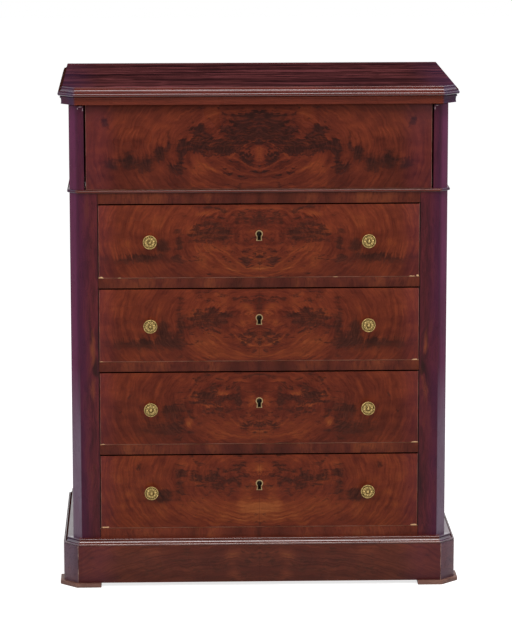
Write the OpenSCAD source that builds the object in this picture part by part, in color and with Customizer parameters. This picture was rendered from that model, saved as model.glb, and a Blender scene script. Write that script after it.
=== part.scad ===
// Washstand chest of drawers.
// A case of four drawers carries a shallow wash compartment behind a false drawer front.
// The lid and that frieze panel lift as one on two butt hinges at the back.
// The front faces -Y, +Z is up, and the origin is on the floor under the middle of the whole chest.
// Inside the modules y = 0 is the plane of the drawer fronts, and placed() moves it to its place.

/* [Case] */
// Width across the case sides
case_w = 834; // [780:2:1000]
// Depth from the drawer fronts to the back of the case
case_d = 480; // [400:2:600]
// Leg of each canted corner, along the front and along the side
cant = 20; // [12:1:26]
// Width of the front face of each stile beside the drawers
stile_face = 42; // [32:1:60]
// Width of the front face of each post beside the frieze panel
post_face = 13; // [10:1:24]
// Depth of the stiles, posts and rails, from front to back
frame_d = 40; // [36:1:60]
// Thickness of the side panels
side_t = 18; // [16:1:24]
// Thickness of the back boards
back_t = 10; // [8:1:14]
// Number of upright boards in the back
back_count = 4; // [3:1:6]
// Thickness of the board under the bottom drawer
bottom_t = 12; // [8:1:12]
// Thickness of the deck board over the top drawer
deck_t = 18; // [12:1:22]
// Thickness of the marble slab on the deck
slab_t = 15; // [10:1:25]

/* [Heights] */
// Height of the foot pads
pad_h = 9; // [5:1:20]
// Height of the plain plinth boards
plinth_h = 85; // [60:1:120]
// Height of the moulding on top of the plinth
plinth_mould_h = 14; // [12:1:20]
// Height of that moulding's round arris
plinth_arris_h = 4.2; // [3:0.1:6]
// Height of the small bead on top of that moulding
plinth_bead_h = 3; // [2:0.1:5]
// Height of the rail under the bottom drawer
bottom_rail_h = 35; // [34:1:50]
// Height of the bottom drawer's opening
bottom_opening_h = 169; // [140:1:220]
// Height of each of the other three drawer openings
opening_h = 166; // [140:1:200]
// Height of the rails between the drawers
rail_h = 22; // [20:1:30]
// Height of the rail over the top drawer
top_rail_h = 31; // [28:1:45]
// Height of the bead round the case, flush with the top of that rail
bead_h = 7; // [5:1:10]
// Height from the bead to the underside of the lid
frieze_h = 189.5; // [150:0.5:240]
// Thickness of the frame under the lid board
lid_frame_t = 18; // [17:1:24]
// Thickness of the lid board
lid_board_t = 20; // [18:1:26]
// Height of the hollow band round the lid's frame
fascia_h = 12.6; // [10:0.1:13]
// Height of the small bead over that band
small_bead_h = 4.4; // [3:0.1:5]
// Height of the round nosing
nosing_h = 8; // [6:0.5:9]
// Height of the fillet on the nosing
fillet_h = 2; // [1:0.1:3]
// Height of the thin arris on top of the lid
arris_h = 3.2; // [2:0.1:4]

/* [Reach from the case faces] */
// Reach of the plinth boards
plinth_reach = 21.3; // [18:0.1:26]
// Reach of the foot pads
pad_reach = 29.3; // [24:0.1:34]
// Length of each foot pad along each side
pad_len = 92; // [70:1:120]
// Reach of the bead
bead_reach = 5; // [3.5:0.1:8]
// Reach of the lid's round nosing
nosing_reach = 23.5; // [22:0.1:30]
// Reach of the thin arris on top of the lid
arris_reach = 14.5; // [12:0.1:16]
// Reach of the hollow band under the nosing
fascia_reach = 16.5; // [14:0.1:18]
// Depth of that band's hollow
hollow_d = 0.8; // [0.4:0.1:1.5]
// Radius of that hollow
hollow_r = 25; // [16:1:40]
// Reach of the lid past the back of the case
lid_back = 20; // [16:1:24]

/* [Lid and frieze panel] */
// Width of the front and side strips of the frame under the lid board
strip_w = 60; // [50:1:90]
// Width of that frame's rear strip, which holds the hinges
rear_strip_w = 56; // [52:1:80]
// Thickness of the frieze panel
panel_t = 20; // [16:1:24]
// Gap between the frieze panel and each post
panel_side_gap = 4; // [1:0.5:6]
// Gap under the frieze panel
panel_low_gap = 0.5; // [0.5:0.1:2]
// Gap between the posts and the lid
post_gap = 4; // [1:0.5:6]
// Leg of the triangular blocks glued behind the frieze panel
block_leg = 22; // [12:1:24]
// Length of those blocks
block_len = 60; // [40:5:100]
// Number of those blocks
block_count = 4; // [2:1:6]

/* [Hinges] */
// Height of the rear rail that the hinges are let into
hinge_rail_h = 30; // [26:1:40]
// Depth of that rail
hinge_rail_d = 40; // [36:1:60]
// Distance of each hinge from the middle of the chest
hinge_x = 260; // [120:5:320]
// Length of each hinge
hinge_len = 60; // [50:5:90]
// Width of each leaf, from the pin
leaf_w = 28; // [26:1:32]
// Thickness of each leaf
leaf_t = 2; // [1.6:0.1:2.4]
// Radius of the knuckles
knuckle_r = 3.5; // [3.2:0.1:4]
// Radius of the hinge pins
pin_r = 1.5; // [1:0.1:1.8]
// Distance of the pins behind the case
pin_back = 3; // [2:0.1:4]
// Number of knuckles in each hinge
knuckle_count = 5; // [3:2:7]
// Length of the hinge screws
screw_len = 15; // [10:1:16]
// Radius of the hinge screws
screw_r = 2; // [1.5:0.1:2.2]
// Radius of the screw heads
screw_head_r = 3.8; // [3.4:0.1:4.2]

/* [Drawers] */
// Thickness of the drawer fronts
front_t = 22; // [20:1:26]
// Gap over each drawer front
top_gap = 3; // [2:0.5:5]
// Gap under each drawer front
low_gap = 0.5; // [0.5:0.1:2]
// Gap beside each drawer
side_gap = 1; // [0.5:0.1:2]
// Thickness of the drawer sides
dside_t = 12; // [10:1:15]
// Height by which the drawer sides are lower than the front
side_drop = 4; // [2:1:10]
// Thickness of the drawer backs
dback_t = 12; // [8:1:15]
// Distance of the drawer back from the rear ends of the sides
dback_inset = 10; // [4:1:20]
// Thickness of the drawer bottoms
dbottom_t = 8; // [6:1:10]
// Height of the drawer bottom over the runners
dbottom_lift = 8; // [7:1:12]
// Depth of the grooves that hold the drawer bottom and back
groove = 5; // [3:0.5:6]
// Space left behind the drawers
rear_room = 8; // [4:1:30]
// Length of the dovetails
tail_len = 16; // [12:1:18]
// Number of dovetails at each front corner
tail_count = 3; // [2:1:5]
// Height of the wood left between the wide ends of two dovetails
tail_gap = 16; // [12:1:20]
// Height by which each edge of a dovetail flares
tail_flare = 3; // [1:0.5:4]
// Distance that the runners reach inwards from the side of the drawer openings
runner_reach = 30; // [20:1:50]
// Height of the guide strips beside the drawers
guide_h = 18; // [10:1:30]
// Height of the drawer stops
stop_h = 5; // [3:0.5:6]
// Width of the drawer stops
stop_w = 30; // [20:1:50]
// Distance of the drawer stops from the middle
stop_x = 200; // [120:5:300]

/* [Knobs] */
// Distance of the knobs from the middle
knob_x = 241; // [150:1:300]
// Height of the knobs over the middle of the drawer front
knob_lift = 2; // [-10:1:20]
// Radius of the knobs
knob_r = 16; // [13:0.5:20]
// Reach of the knobs from the drawer front
knob_reach = 29; // [27:0.5:36]
// Radius of the round rim of each knob
rim_r = 2.2; // [1.5:0.1:3]
// Reach of the middle of that rim
rim_reach = 22; // [20:0.5:24]
// Radius of the boss in the middle of each knob
boss_r = 5; // [3:0.5:6]
// Reach of the narrow end of each knob's cup
cup_reach = 13; // [8:0.5:16]
// Radius of the plate behind each knob
rose_r = 9; // [7.5:0.5:11]
// Thickness of that plate
rose_t = 2; // [1:0.5:3]
// Radius of each knob's stem
stem_r = 5; // [4:0.5:6]
// Radius of the threaded shank
shank_r = 3; // [2:0.5:3.5]
// Radius of the nut on the shank
nut_r = 7; // [5:0.5:9]
// Thickness of that nut
nut_t = 5; // [3:0.5:6]
// Length of the shank that shows behind the nut
shank_end = 2; // [0.5:0.5:4]

/* [Locks] */
// Depth of the keyhole below the top of the drawer front
key_drop = 65; // [45:1:80]
// Width of the lock
lock_w = 60; // [44:1:90]
// Thickness of the lock
lock_t = 11; // [10:0.5:13]
// Height of the lock below the middle of the keyhole
lock_low = 18; // [15:1:25]
// Width of the plate let into the top edge of the drawer front
selvedge_w = 78; // [64:1:100]
// Thickness of that plate
selvedge_t = 2; // [1.5:0.1:3]
// Width of the bolt
bolt_w = 20; // [14:1:26]
// Thickness of the bolt
bolt_t = 5; // [4:0.5:6]
// Travel of the bolt
bolt_travel = 7; // [5:0.5:8]
// Height between the keyhole and the lower end of the bolt
key_room = 14; // [11:1:20]
// Radius of the round head of the escutcheon
plate_r = 8.2; // [7:0.1:9]
// Half width of the escutcheon's foot
plate_foot = 6.6; // [6:0.1:8]
// Half width of the escutcheon's neck
plate_neck = 5.2; // [4.6:0.1:6]
// Height of the neck below the middle of the head
plate_neck_low = 7.5; // [6:0.1:9]
// Height of the foot below the middle of the head
plate_low = 15.5; // [14:0.1:18]
// Thickness of the escutcheon
plate_t = 2; // [1.2:0.1:3]
// Height by which the escutcheon stands out of the drawer front
plate_proud = 0.5; // [0.2:0.1:1]
// Radius of the round part of the keyhole
key_r = 4.4; // [3:0.1:5]
// Half width of the slot under it
key_slot = 2.4; // [1.5:0.1:3]
// Depth of that slot below the middle of the round part
key_low = 12.8; // [9:0.1:13.4]
// Depth of the key's chamber in the lock
chamber_d = 8; // [5:0.5:9]
// Radius of the pin that the key turns on
key_pin_r = 1.5; // [1:0.1:2]

/* [Joinery] */
// Length of the rail tenons
tenon_len = 25; // [12:1:30]
// Thickness of the rail tenons
tenon_t = 12; // [8:1:14]
// Height of the shoulder over and under each tenon
shoulder = 4; // [2:1:6]
// Length of the tongue along the front edge of each side panel
tongue_len = 8; // [5:1:10]
// Thickness of that tongue
tongue_t = 6; // [4:1:8]
// Depth of the housings that hold the deck and the bottom board
housing = 6; // [4:1:9]
// Width of the rebates that hold the back boards
rebate = 8; // [5:1:10]
// Clearance of glued and let-in joints
fit = 0.1; // [0.05:0.05:0.3]
// Clearance of pieces that slide or turn on each other
play = 0.3; // [0.2:0.05:0.6]
// Glue line left at each mitre
mitre_gap = 0.1; // [0.05:0.05:0.4]
// Gap between two back boards
board_gap = 0.8; // [0.3:0.1:2]
// Gap round the marble slab
slab_gap = 0.6; // [0.3:0.1:3]
// Clearance of the hinge pins
pin_play = 0.08; // [0.05:0.01:0.1]

/* [Hidden] */
$fn = 48;

MAHOGANY = "#6E2A1C";
DARK_MAHOGANY = "#55201C";
PINE = "#B98A55";
BRASS = "#968250";
IRON = "#5A5652";
MARBLE = "#D9D5CD";

// Drawers count from 1 at the top to drawer_count at the bottom.
drawer_count = 4;
// Length by which a cut runs past the face that it leaves.
over = 1;

// Half widths and depths, from the middle and from the plane of the drawer fronts.
case_hw = case_w / 2;
side_in = case_hw - side_t;
open_hw = case_hw - cant - stile_face;
post_in = case_hw - cant - post_face;
back_in = case_d - back_t;
lid_rear = case_d + lid_back;
front_reach = max(pad_reach, knob_reach, nosing_reach);
front_y = (front_reach - lid_rear) / 2;

// Heights over the floor.
plinth_top = pad_h + plinth_h;
first_z = plinth_top + bottom_rail_h;
function opening(n) = n == drawer_count ? bottom_opening_h : opening_h;
function rail_top(n) = n == drawer_count ? first_z : rail_top(n + 1) + opening(n + 1) + rail_h;
top_rail_z = rail_top(1) + opening_h;
bead_top = top_rail_z + top_rail_h;
deck_z = bead_top - deck_t;
lid_z = bead_top + frieze_h;
lid_h = lid_frame_t + lid_board_t;
post_top = lid_z - post_gap;
back_rebate_h = hinge_rail_h / 2;
back_top = lid_z - hinge_rail_h + back_rebate_h;

// Drawer sizes.
drawer_hw = open_hw - side_gap;
drawer_in = drawer_hw - dside_t;
drawer_d = back_in - rear_room;
runner_in = open_hw - runner_reach;
function front_low(n) = rail_top(n) + low_gap;
function front_top(n) = rail_top(n) + opening(n) - top_gap;
function side_top(n) = front_top(n) - side_drop;
function key_z(n) = front_top(n) - key_drop;
function knob_z(n) = (front_low(n) + front_top(n)) / 2 + knob_lift;

// Lock sizes: the bolt runs in the middle of the lock's thickness.
bolt_y = front_t - lock_t / 2;
bolt_len = key_drop - key_room;

// Hinge sizes: the pin lies in the plane where the lid meets the rear rail.
pin_y = case_d + pin_back;
knuckle_len = hinge_len / knuckle_count;
leaf_edge = knuckle_r + play;
screw_y = (leaf_w + leaf_edge) / 2;
screw_pitch = hinge_len / 3;

// How far a corner of the canted outline moves for each unit that the outline grows.
grow = sqrt(2) - 1;
// How far a mitred end leans for each unit of width.
lean = tan(22.5);
function corner_x(off) = case_hw - cant + off * grow;
function corner_y(off) = cant - off * grow;

// Moves pieces drawn from the plane of the drawer fronts to their place in the chest.
module placed() {
    translate([0, front_y, 0]) children();
}

// Draws a right-hand piece and its left-hand mirror image.
module both_sides() {
    children();
    mirror([1, 0, 0]) children();
}

// Box between two corners.
module block(low, high) {
    translate(low) cube(high - low);
}

// Box that is centred on x = 0.
module middle_block(half_w, y0, y1, z0, z1) {
    block([-half_w, y0, z0], [half_w, y1, z1]);
}

// Outline of the case seen from above, grown by off on the front, the cants and the sides.
module plan(off, rear) {
    polygon([
        [corner_x(off), -off], [case_hw + off, corner_y(off)], [case_hw + off, rear],
        [-case_hw - off, rear], [-case_hw - off, corner_y(off)], [-corner_x(off), -off]
    ]);
}

// Corners of the case outline, walked from the right rear round the front to the left rear.
function walk(rear) = [
    [case_hw, rear], [case_hw, cant], [case_hw - cant, 0],
    [cant - case_hw, 0], [-case_hw, cant], [-case_hw, rear]
];

// Puts a run that is drawn along +X, with its outside towards +Y, on the edge from a to b.
module on_edge(a, b) {
    translate([a[0], a[1], 0]) rotate([0, 0, atan2(b[1] - a[1], b[0] - a[0])]) children();
}

// Straight run of a profile. The profile's x is the reach outwards and its y is the height.
module run(from, to) {
    translate([from, 0, 0]) rotate([90, 0, 90]) linear_extrude(to - from) children();
}

// Five mitred lengths of a profile round the sides, cants and front, each a piece of its own.
module mitred_runs(rear, low, high, reach) {
    points = walk(rear);
    last = len(points) - 2;
    for (i = [0:last]) {
        a = points[i];
        b = points[i + 1];
        length = norm(b - a);
        start = i > 0 ? lean : 0;
        end = i < last ? lean : 0;
        start_gap = i > 0 ? mitre_gap / 2 : 0;
        end_gap = i < last ? mitre_gap / 2 : 0;
        on_edge(a, b) intersection() {
            run(-reach, length + reach) children();
            translate([0, 0, low - over]) linear_extrude(high - low + 2 * over) polygon([
                [start_gap, 0], [length - end_gap, 0],
                [length - end_gap + end * reach, reach], [start_gap - start * reach, reach]
            ]);
        }
    }
}

// Case

// Tongue of the right-hand side panel, or with extra the groove that it fits.
module side_tongue(z0, z1, extra) {
    middle = case_hw - side_t / 2;
    block([middle - tongue_t / 2 - extra, frame_d - tongue_len - extra, z0],
        [middle + tongue_t / 2 + extra, frame_d + extra, z1]);
}

// Right-hand tenon of a rail, or with extra the mortise that it fits.
module tenon(z0, h, extra) {
    mid = frame_d / 2;
    block([open_hw - extra, mid - tenon_t / 2 - extra, z0 + shoulder - extra],
        [open_hw + tenon_len + extra, mid + tenon_t / 2 + extra, z0 + h - shoulder + extra]);
}

// Side panels, housed for the deck and the bottom board and rebated for the back boards.
module side_panels() {
    color(MAHOGANY) placed() both_sides() {
        difference() {
            block([side_in, frame_d, pad_h], [case_hw, case_d, lid_z]);
            for (board = [[plinth_top, bottom_t], [deck_z, deck_t]]) {
                block([side_in - over, frame_d - over, board[0] - fit],
                    [side_in + housing + fit, back_in + over, board[0] + board[1] + fit]);
            }
            block([side_in - over, back_in - fit, plinth_top - fit],
                [side_in + rebate + fit, case_d + over, back_top + fit]);
        }
        side_tongue(pad_h, post_top, 0);
    }
}

// Right-hand upright with a canted corner, grooved for the side panel's tongue.
module upright(inner, z0, z1) {
    difference() {
        translate([0, 0, z0]) linear_extrude(z1 - z0) polygon([
            [inner, 0], [case_hw - cant, 0], [case_hw, cant], [case_hw, frame_d], [inner, frame_d]
        ]);
        side_tongue(z0 - over, z1 + over, fit);
    }
}

module corner_stiles() {
    color(DARK_MAHOGANY) placed() both_sides() difference() {
        upright(open_hw, pad_h, bead_top);
        tenon(plinth_top, bottom_rail_h, fit);
        tenon(top_rail_z, top_rail_h, fit);
        for (n = [1:drawer_count - 1]) tenon(rail_top(n) - rail_h, rail_h, fit);
    }
}

module cheek_posts() {
    color(DARK_MAHOGANY) placed() both_sides() upright(post_in, bead_top, post_top);
}

// Rail between the stiles, with a socket for the bolt of the drawer under it if strike is true.
module rail(z0, h, strike) {
    difference() {
        middle_block(open_hw, 0, frame_d, z0, z0 + h);
        if (strike) {
            middle_block(bolt_w / 2 + over, bolt_y - bolt_t / 2 - over, bolt_y + bolt_t / 2 + over,
                z0 - over, z0 + bolt_travel);
        }
    }
    both_sides() tenon(z0, h, 0);
}

module top_rail() {
    color(MAHOGANY) placed() rail(top_rail_z, top_rail_h, true);
}

module divider_rails() {
    color(MAHOGANY) placed() for (n = [1:drawer_count - 1]) rail(rail_top(n) - rail_h, rail_h, true);
}

module bottom_rail() {
    color(MAHOGANY) placed() rail(plinth_top, bottom_rail_h, false);
}

module drawer_runners() {
    color(PINE) placed() both_sides() for (n = [1:drawer_count]) {
        block([runner_in, frame_d, rail_top(n) - rail_h], [side_in, back_in, rail_top(n)]);
    }
}

// Guide strips beside the drawers, and the two kicker strips under the deck.
module drawer_guides() {
    color(PINE) placed() both_sides() {
        for (n = [1:drawer_count]) {
            block([open_hw, frame_d, rail_top(n)], [side_in, back_in, rail_top(n) + guide_h]);
        }
        block([runner_in, frame_d, top_rail_z], [side_in, back_in, deck_z]);
    }
}

// Blocks on each rail that stop the drawer front flush with the case.
module drawer_stops() {
    color(PINE) placed() both_sides() for (n = [1:drawer_count]) {
        block([stop_x - stop_w / 2, front_t, rail_top(n)],
            [stop_x + stop_w / 2, frame_d, rail_top(n) + stop_h]);
    }
}

module back_boards() {
    half = side_in + rebate;
    board_w = (2 * half - (back_count - 1) * board_gap) / back_count;
    color(PINE) placed() for (i = [0:back_count - 1]) {
        x = -half + i * (board_w + board_gap);
        block([x, back_in, plinth_top], [x + board_w, case_d, back_top]);
    }
}

module bottom_board() {
    color(PINE) placed()
        middle_block(side_in + housing, frame_d, back_in, plinth_top, plinth_top + bottom_t);
}

module deck_board() {
    color(PINE) placed() middle_block(side_in + housing, frame_d, back_in, deck_z, bead_top);
}

module marble_slab() {
    color(MARBLE) placed() middle_block(side_in - slab_gap, frame_d + slab_gap, back_in - slab_gap,
        bead_top, bead_top + slab_t);
}

module bead_moulding() {
    color(DARK_MAHOGANY) placed()
        mitred_runs(case_d, bead_top - bead_h, bead_top, bead_reach)
            translate([0, bead_top - bead_h]) intersection() {
                square([bead_reach, bead_h]);
                union() {
                    square([bead_reach - bead_h / 2, bead_h]);
                    translate([bead_reach - bead_h / 2, bead_h / 2]) circle(bead_h / 2);
                }
            }
}

// Base

module plinth_boards() {
    color(MAHOGANY) placed()
        mitred_runs(case_d, pad_h, plinth_top, plinth_reach)
            translate([0, pad_h]) square([plinth_reach, plinth_h]);
}

// Round arris, cove and small bead, from the bottom up.
module plinth_moulding() {
    arris_r = plinth_arris_h / 2;
    bead_low = plinth_mould_h - plinth_bead_h;
    cove_x = plinth_reach - arris_r;
    cove_r = bead_low - plinth_arris_h;
    color(MAHOGANY) placed()
        mitred_runs(case_d, plinth_top, plinth_top + plinth_mould_h, plinth_reach)
            translate([0, plinth_top]) {
                square([cove_x, plinth_arris_h]);
                translate([cove_x, arris_r]) circle(arris_r);
                difference() {
                    translate([0, arris_r]) square([cove_x, bead_low - arris_r]);
                    translate([cove_x, bead_low]) circle(cove_r);
                }
                translate([0, bead_low]) square([cove_x - cove_r, plinth_bead_h]);
                translate([cove_x - cove_r, bead_low + plinth_bead_h / 2]) circle(plinth_bead_h / 2);
            }
}

// A pad with a canted corner under each front corner, and a square one under each rear corner.
module foot_pads() {
    inner = case_hw + pad_reach - pad_len;
    color(DARK_MAHOGANY) placed() both_sides() linear_extrude(pad_h) {
        polygon([
            [inner, -pad_reach], [corner_x(pad_reach), -pad_reach],
            [case_hw + pad_reach, corner_y(pad_reach)],
            [case_hw + pad_reach, pad_len - pad_reach], [inner, pad_len - pad_reach]
        ]);
        translate([inner, case_d - pad_len]) square([pad_len, pad_len]);
    }
}

// Hinges

// Places pieces drawn round a pin along X at both hinges.
module at_hinges() {
    both_sides() translate([hinge_x, pin_y, lid_z]) children();
}

// Countersunk screw that points down from the plane of the joint.
module wood_screw(extra) {
    translate([0, 0, -leaf_t]) cylinder(h = leaf_t, r1 = screw_r + extra, r2 = screw_head_r + extra);
    translate([0, 0, -screw_len]) cylinder(h = screw_len, r = screw_r + extra);
}

// Row of screws in one leaf.
module leaf_screws(extra) {
    for (i = [-1:1]) translate([i * screw_pitch, -screw_y, 0]) wood_screw(extra);
}

// Leaf under the plane of the joint, with the knuckles whose numbers start at first.
module hinge_leaf(first) {
    difference() {
        union() {
            block([-hinge_len / 2, -leaf_w, -leaf_t], [hinge_len / 2, -leaf_edge, 0]);
            for (i = [first:2:knuckle_count - 1]) {
                x0 = -hinge_len / 2 + i * knuckle_len + (i > 0 ? play / 2 : 0);
                x1 = -hinge_len / 2 + (i + 1) * knuckle_len - (i < knuckle_count - 1 ? play / 2 : 0);
                block([x0, -leaf_edge, -leaf_t], [x1, 0, 0]);
                translate([x0, 0, 0]) rotate([0, 90, 0]) cylinder(h = x1 - x0, r = knuckle_r);
            }
        }
        translate([-hinge_len / 2 - over, 0, 0]) rotate([0, 90, 0])
            cylinder(h = hinge_len + 2 * over, r = pin_r + pin_play);
        leaf_screws(fit);
    }
}

// Room that a leaf, its screws and the knuckles need in the wood under the plane of the joint.
module leaf_room() {
    block([-hinge_len / 2 - fit, -leaf_w - fit, -leaf_t], [hinge_len / 2 + fit, 0, over]);
    translate([-hinge_len / 2 - play, 0, 0]) rotate([0, 90, 0])
        cylinder(h = hinge_len + 2 * play, r = knuckle_r + play);
    for (i = [-1:1]) translate([i * screw_pitch, -screw_y, -screw_len - over])
        cylinder(h = screw_len + over, r = screw_r + fit);
}

// Rear rail between the side panels, rebated over the back boards and let in for the hinges.
module hinge_rail() {
    color(PINE) placed() difference() {
        middle_block(side_in, case_d - hinge_rail_d, case_d, lid_z - hinge_rail_h, lid_z);
        middle_block(side_in + over, back_in, case_d + over,
            lid_z - hinge_rail_h - over, back_top);
        at_hinges() leaf_room();
    }
}

module hinge_case_leaves() {
    color(BRASS) placed() at_hinges() hinge_leaf(0);
}

module hinge_lid_leaves() {
    color(BRASS) placed() at_hinges() mirror([0, 0, 1]) hinge_leaf(1);
}

module hinge_pins() {
    color(BRASS) placed() at_hinges() translate([-hinge_len / 2, 0, 0]) rotate([0, 90, 0])
        cylinder(h = hinge_len, r = pin_r);
}

module hinge_case_screws() {
    color(BRASS) placed() at_hinges() leaf_screws(0);
}

module hinge_lid_screws() {
    color(BRASS) placed() at_hinges() mirror([0, 0, 1]) leaf_screws(0);
}

// Lid and frieze panel

// Edge of the lid from its underside up: hollow band, bead, nosing, fillet, cove and arris.
module lid_profile() {
    nosing_top = lid_frame_t + nosing_h;
    cove_top = lid_h - arris_h;
    fillet_reach = nosing_reach - nosing_h / 4;
    cove_r = min(fillet_reach - arris_reach, cove_top - nosing_top - fillet_h);
    difference() {
        square([fascia_reach, fascia_h]);
        translate([fascia_reach + hollow_r - hollow_d, fascia_h / 2]) circle(hollow_r);
    }
    translate([0, fascia_h]) square([fascia_reach, lid_frame_t - fascia_h]);
    translate([fascia_reach, fascia_h + small_bead_h / 2]) circle(small_bead_h / 2);
    square([arris_reach, lid_h]);
    translate([0, lid_frame_t]) square([nosing_reach - nosing_h / 2, nosing_h]);
    translate([nosing_reach - nosing_h / 2, lid_frame_t + nosing_h / 2]) circle(nosing_h / 2);
    translate([0, nosing_top]) square([fillet_reach, fillet_h]);
    difference() {
        translate([0, nosing_top]) square([arris_reach + cove_r, cove_top - nosing_top]);
        translate([arris_reach + cove_r, cove_top]) circle(cove_r);
    }
}

module lid_board() {
    color(DARK_MAHOGANY) placed() translate([0, 0, lid_z + lid_frame_t])
        linear_extrude(lid_board_t) plan(-fit, lid_rear);
}

// Frame of four strips under the board. Its front strip has the lid's canted corners.
module lid_frame() {
    rear_y = lid_rear - rear_strip_w;
    half = case_hw - fit;
    color(PINE) placed() {
        translate([0, 0, lid_z]) linear_extrude(lid_frame_t) polygon([
            [corner_x(-fit), fit], [half, corner_y(-fit)], [half, strip_w],
            [-half, strip_w], [-half, corner_y(-fit)], [-corner_x(-fit), fit]
        ]);
        both_sides() {
            block([half - strip_w, strip_w + fit, lid_z], [half, rear_y - fit, lid_z + lid_frame_t]);
        }
        difference() {
            middle_block(half, rear_y, lid_rear, lid_z, lid_z + lid_frame_t);
            at_hinges() mirror([0, 0, 1]) leaf_room();
        }
    }
}

// Mitred edge of the lid, on the front, the cants and the sides.
module lid_moulding() {
    color(MAHOGANY) placed() mitred_runs(lid_rear, lid_z, lid_z + lid_h, nosing_reach)
        translate([0, lid_z]) lid_profile();
}

module frieze_panel() {
    color(MAHOGANY) placed()
        middle_block(post_in - panel_side_gap, 0, panel_t, bead_top + panel_low_gap, lid_z);
}

// Blocks in the corner between the frieze panel and the lid's frame.
module frieze_blocks() {
    pitch = 2 * post_in / block_count;
    color(PINE) placed() for (i = [0:block_count - 1]) {
        translate([(i + 0.5) * pitch - post_in - block_len / 2, panel_t, lid_z])
            rotate([90, 0, 90]) linear_extrude(block_len)
                polygon([[0, 0], [block_leg, 0], [0, -block_leg]]);
    }
}

// Drawers

// Dovetails on the front end of a right-hand drawer side.
module tails(n, extra) {
    low = rail_top(n);
    pitch = (side_top(n) - low) / tail_count;
    tip = (pitch - tail_gap) / 2;
    root = tip - tail_flare;
    for (i = [0:tail_count - 1]) {
        z = low + (i + 0.5) * pitch;
        translate([drawer_in - extra, 0, 0]) rotate([90, 0, 90])
            linear_extrude(dside_t + (extra > 0 ? extra + over : 0)) polygon([
                [front_t - tail_len - extra, z - tip - extra],
                [front_t + extra, z - root - extra],
                [front_t + extra, z + root + extra],
                [front_t - tail_len - extra, z + tip + extra]
            ]);
    }
}

// Outline of the escutcheon round the middle of the keyhole's round part.
module plate_outline(extra) {
    neck = plate_neck + extra;
    foot = plate_foot + extra;
    low = plate_low + extra;
    circle(plate_r + extra);
    polygon([
        [-neck, 0], [-neck, -plate_neck_low], [-foot, -low], [foot, -low], [neck, -plate_neck_low],
        [neck, 0]
    ]);
}

// Outline of the keyhole round the middle of its round part.
module keyhole() {
    circle(key_r);
    translate([-key_slot, -key_low]) square([2 * key_slot, key_low]);
}

// Puts a flat outline, drawn with x to the right and y up, on the plane y = back, thick towards -Y.
module facing_front(z, back, thick) {
    translate([0, back, z]) rotate([90, 0, 0]) linear_extrude(thick) children();
}

// Drawer front with the sockets, grooves and holes for all that is joined to it.
module drawer_front(n) {
    low = rail_top(n) + dbottom_lift;
    color(MAHOGANY) placed() difference() {
        middle_block(drawer_hw, 0, front_t, front_low(n), front_top(n));
        both_sides() {
            tails(n, fit);
            translate([knob_x, front_t + over, knob_z(n)]) rotate([90, 0, 0])
                cylinder(h = front_t + 2 * over, r = shank_r + fit);
        }
        middle_block(drawer_in, front_t - groove - fit, front_t + over,
            low - fit, low + dbottom_t + fit);
        middle_block(lock_w / 2 + fit, front_t - lock_t - fit, front_t + over,
            key_z(n) - lock_low - fit, front_top(n) + over);
        middle_block(selvedge_w / 2 + fit, front_t - lock_t - fit, front_t + over,
            front_top(n) - selvedge_t - fit, front_top(n) + over);
        facing_front(key_z(n), plate_t - plate_proud, plate_t + over) plate_outline(fit);
        facing_front(key_z(n), front_t, front_t + over) keyhole();
    }
}

// Drawer sides with dovetails in front, grooved for the bottom and the back.
module drawer_sides(n) {
    low = rail_top(n) + dbottom_lift;
    back_y = drawer_d - dback_inset - dback_t;
    color(PINE) placed() both_sides() difference() {
        union() {
            block([drawer_in, front_t, rail_top(n)], [drawer_hw, drawer_d, side_top(n)]);
            tails(n, 0);
        }
        block([drawer_in - over, front_t, low - fit],
            [drawer_in + groove + fit, drawer_d + over, low + dbottom_t + fit]);
        block([drawer_in - over, back_y - fit, low], [drawer_in + groove + fit,
            back_y + dback_t + fit, side_top(n) + over]);
    }
}

module drawer_back(n) {
    back_y = drawer_d - dback_inset - dback_t;
    color(PINE) placed() middle_block(drawer_in + groove, back_y, back_y + dback_t,
        rail_top(n) + dbottom_lift + dbottom_t, side_top(n) - side_drop);
}

// Drawer bottom, with a narrower front edge that fits the groove of the drawer front.
module drawer_bottom(n) {
    low = rail_top(n) + dbottom_lift;
    color(PINE) placed() {
        middle_block(drawer_in + groove, front_t, drawer_d, low, low + dbottom_t);
        middle_block(drawer_in - fit, front_t - groove, front_t, low, low + dbottom_t);
    }
}

// Half section of a knob: its radius is x and its reach from the drawer front is y.
module knob_section() {
    rim_x = knob_r - rim_r;
    boss_low = knob_reach - boss_r;
    intersection() {
        union() {
            square([rose_r, rose_t]);
            square([stem_r, rim_reach]);
            polygon([
                [0, cup_reach], [stem_r, cup_reach], [rim_x, rim_reach - rim_r],
                [rim_x, rim_reach + rim_r], [boss_r, boss_low], [0, boss_low]
            ]);
            translate([rim_x, rim_reach]) circle(rim_r);
            translate([0, boss_low]) circle(boss_r);
        }
        square([knob_r + over, knob_reach + over]);
    }
}

// Two knobs, each with a shank through the drawer front and a nut on its end.
module drawer_knobs(n) {
    shank_len = front_t + nut_t + shank_end;
    color(BRASS) placed() both_sides() translate([knob_x, 0, knob_z(n)]) rotate([90, 0, 0]) {
        rotate_extrude() knob_section();
        translate([0, 0, -shank_len]) cylinder(h = shank_len + over, r = shank_r);
        translate([0, 0, -front_t - nut_t]) difference() {
            cylinder(h = nut_t, r = nut_r, $fn = 6);
            translate([0, 0, -over]) cylinder(h = nut_t + 2 * over, r = shank_r + fit);
        }
    }
}

module drawer_escutcheon(n) {
    color(BRASS) placed() facing_front(key_z(n), plate_t - plate_proud, plate_t) difference() {
        plate_outline(0);
        keyhole();
    }
}

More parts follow.
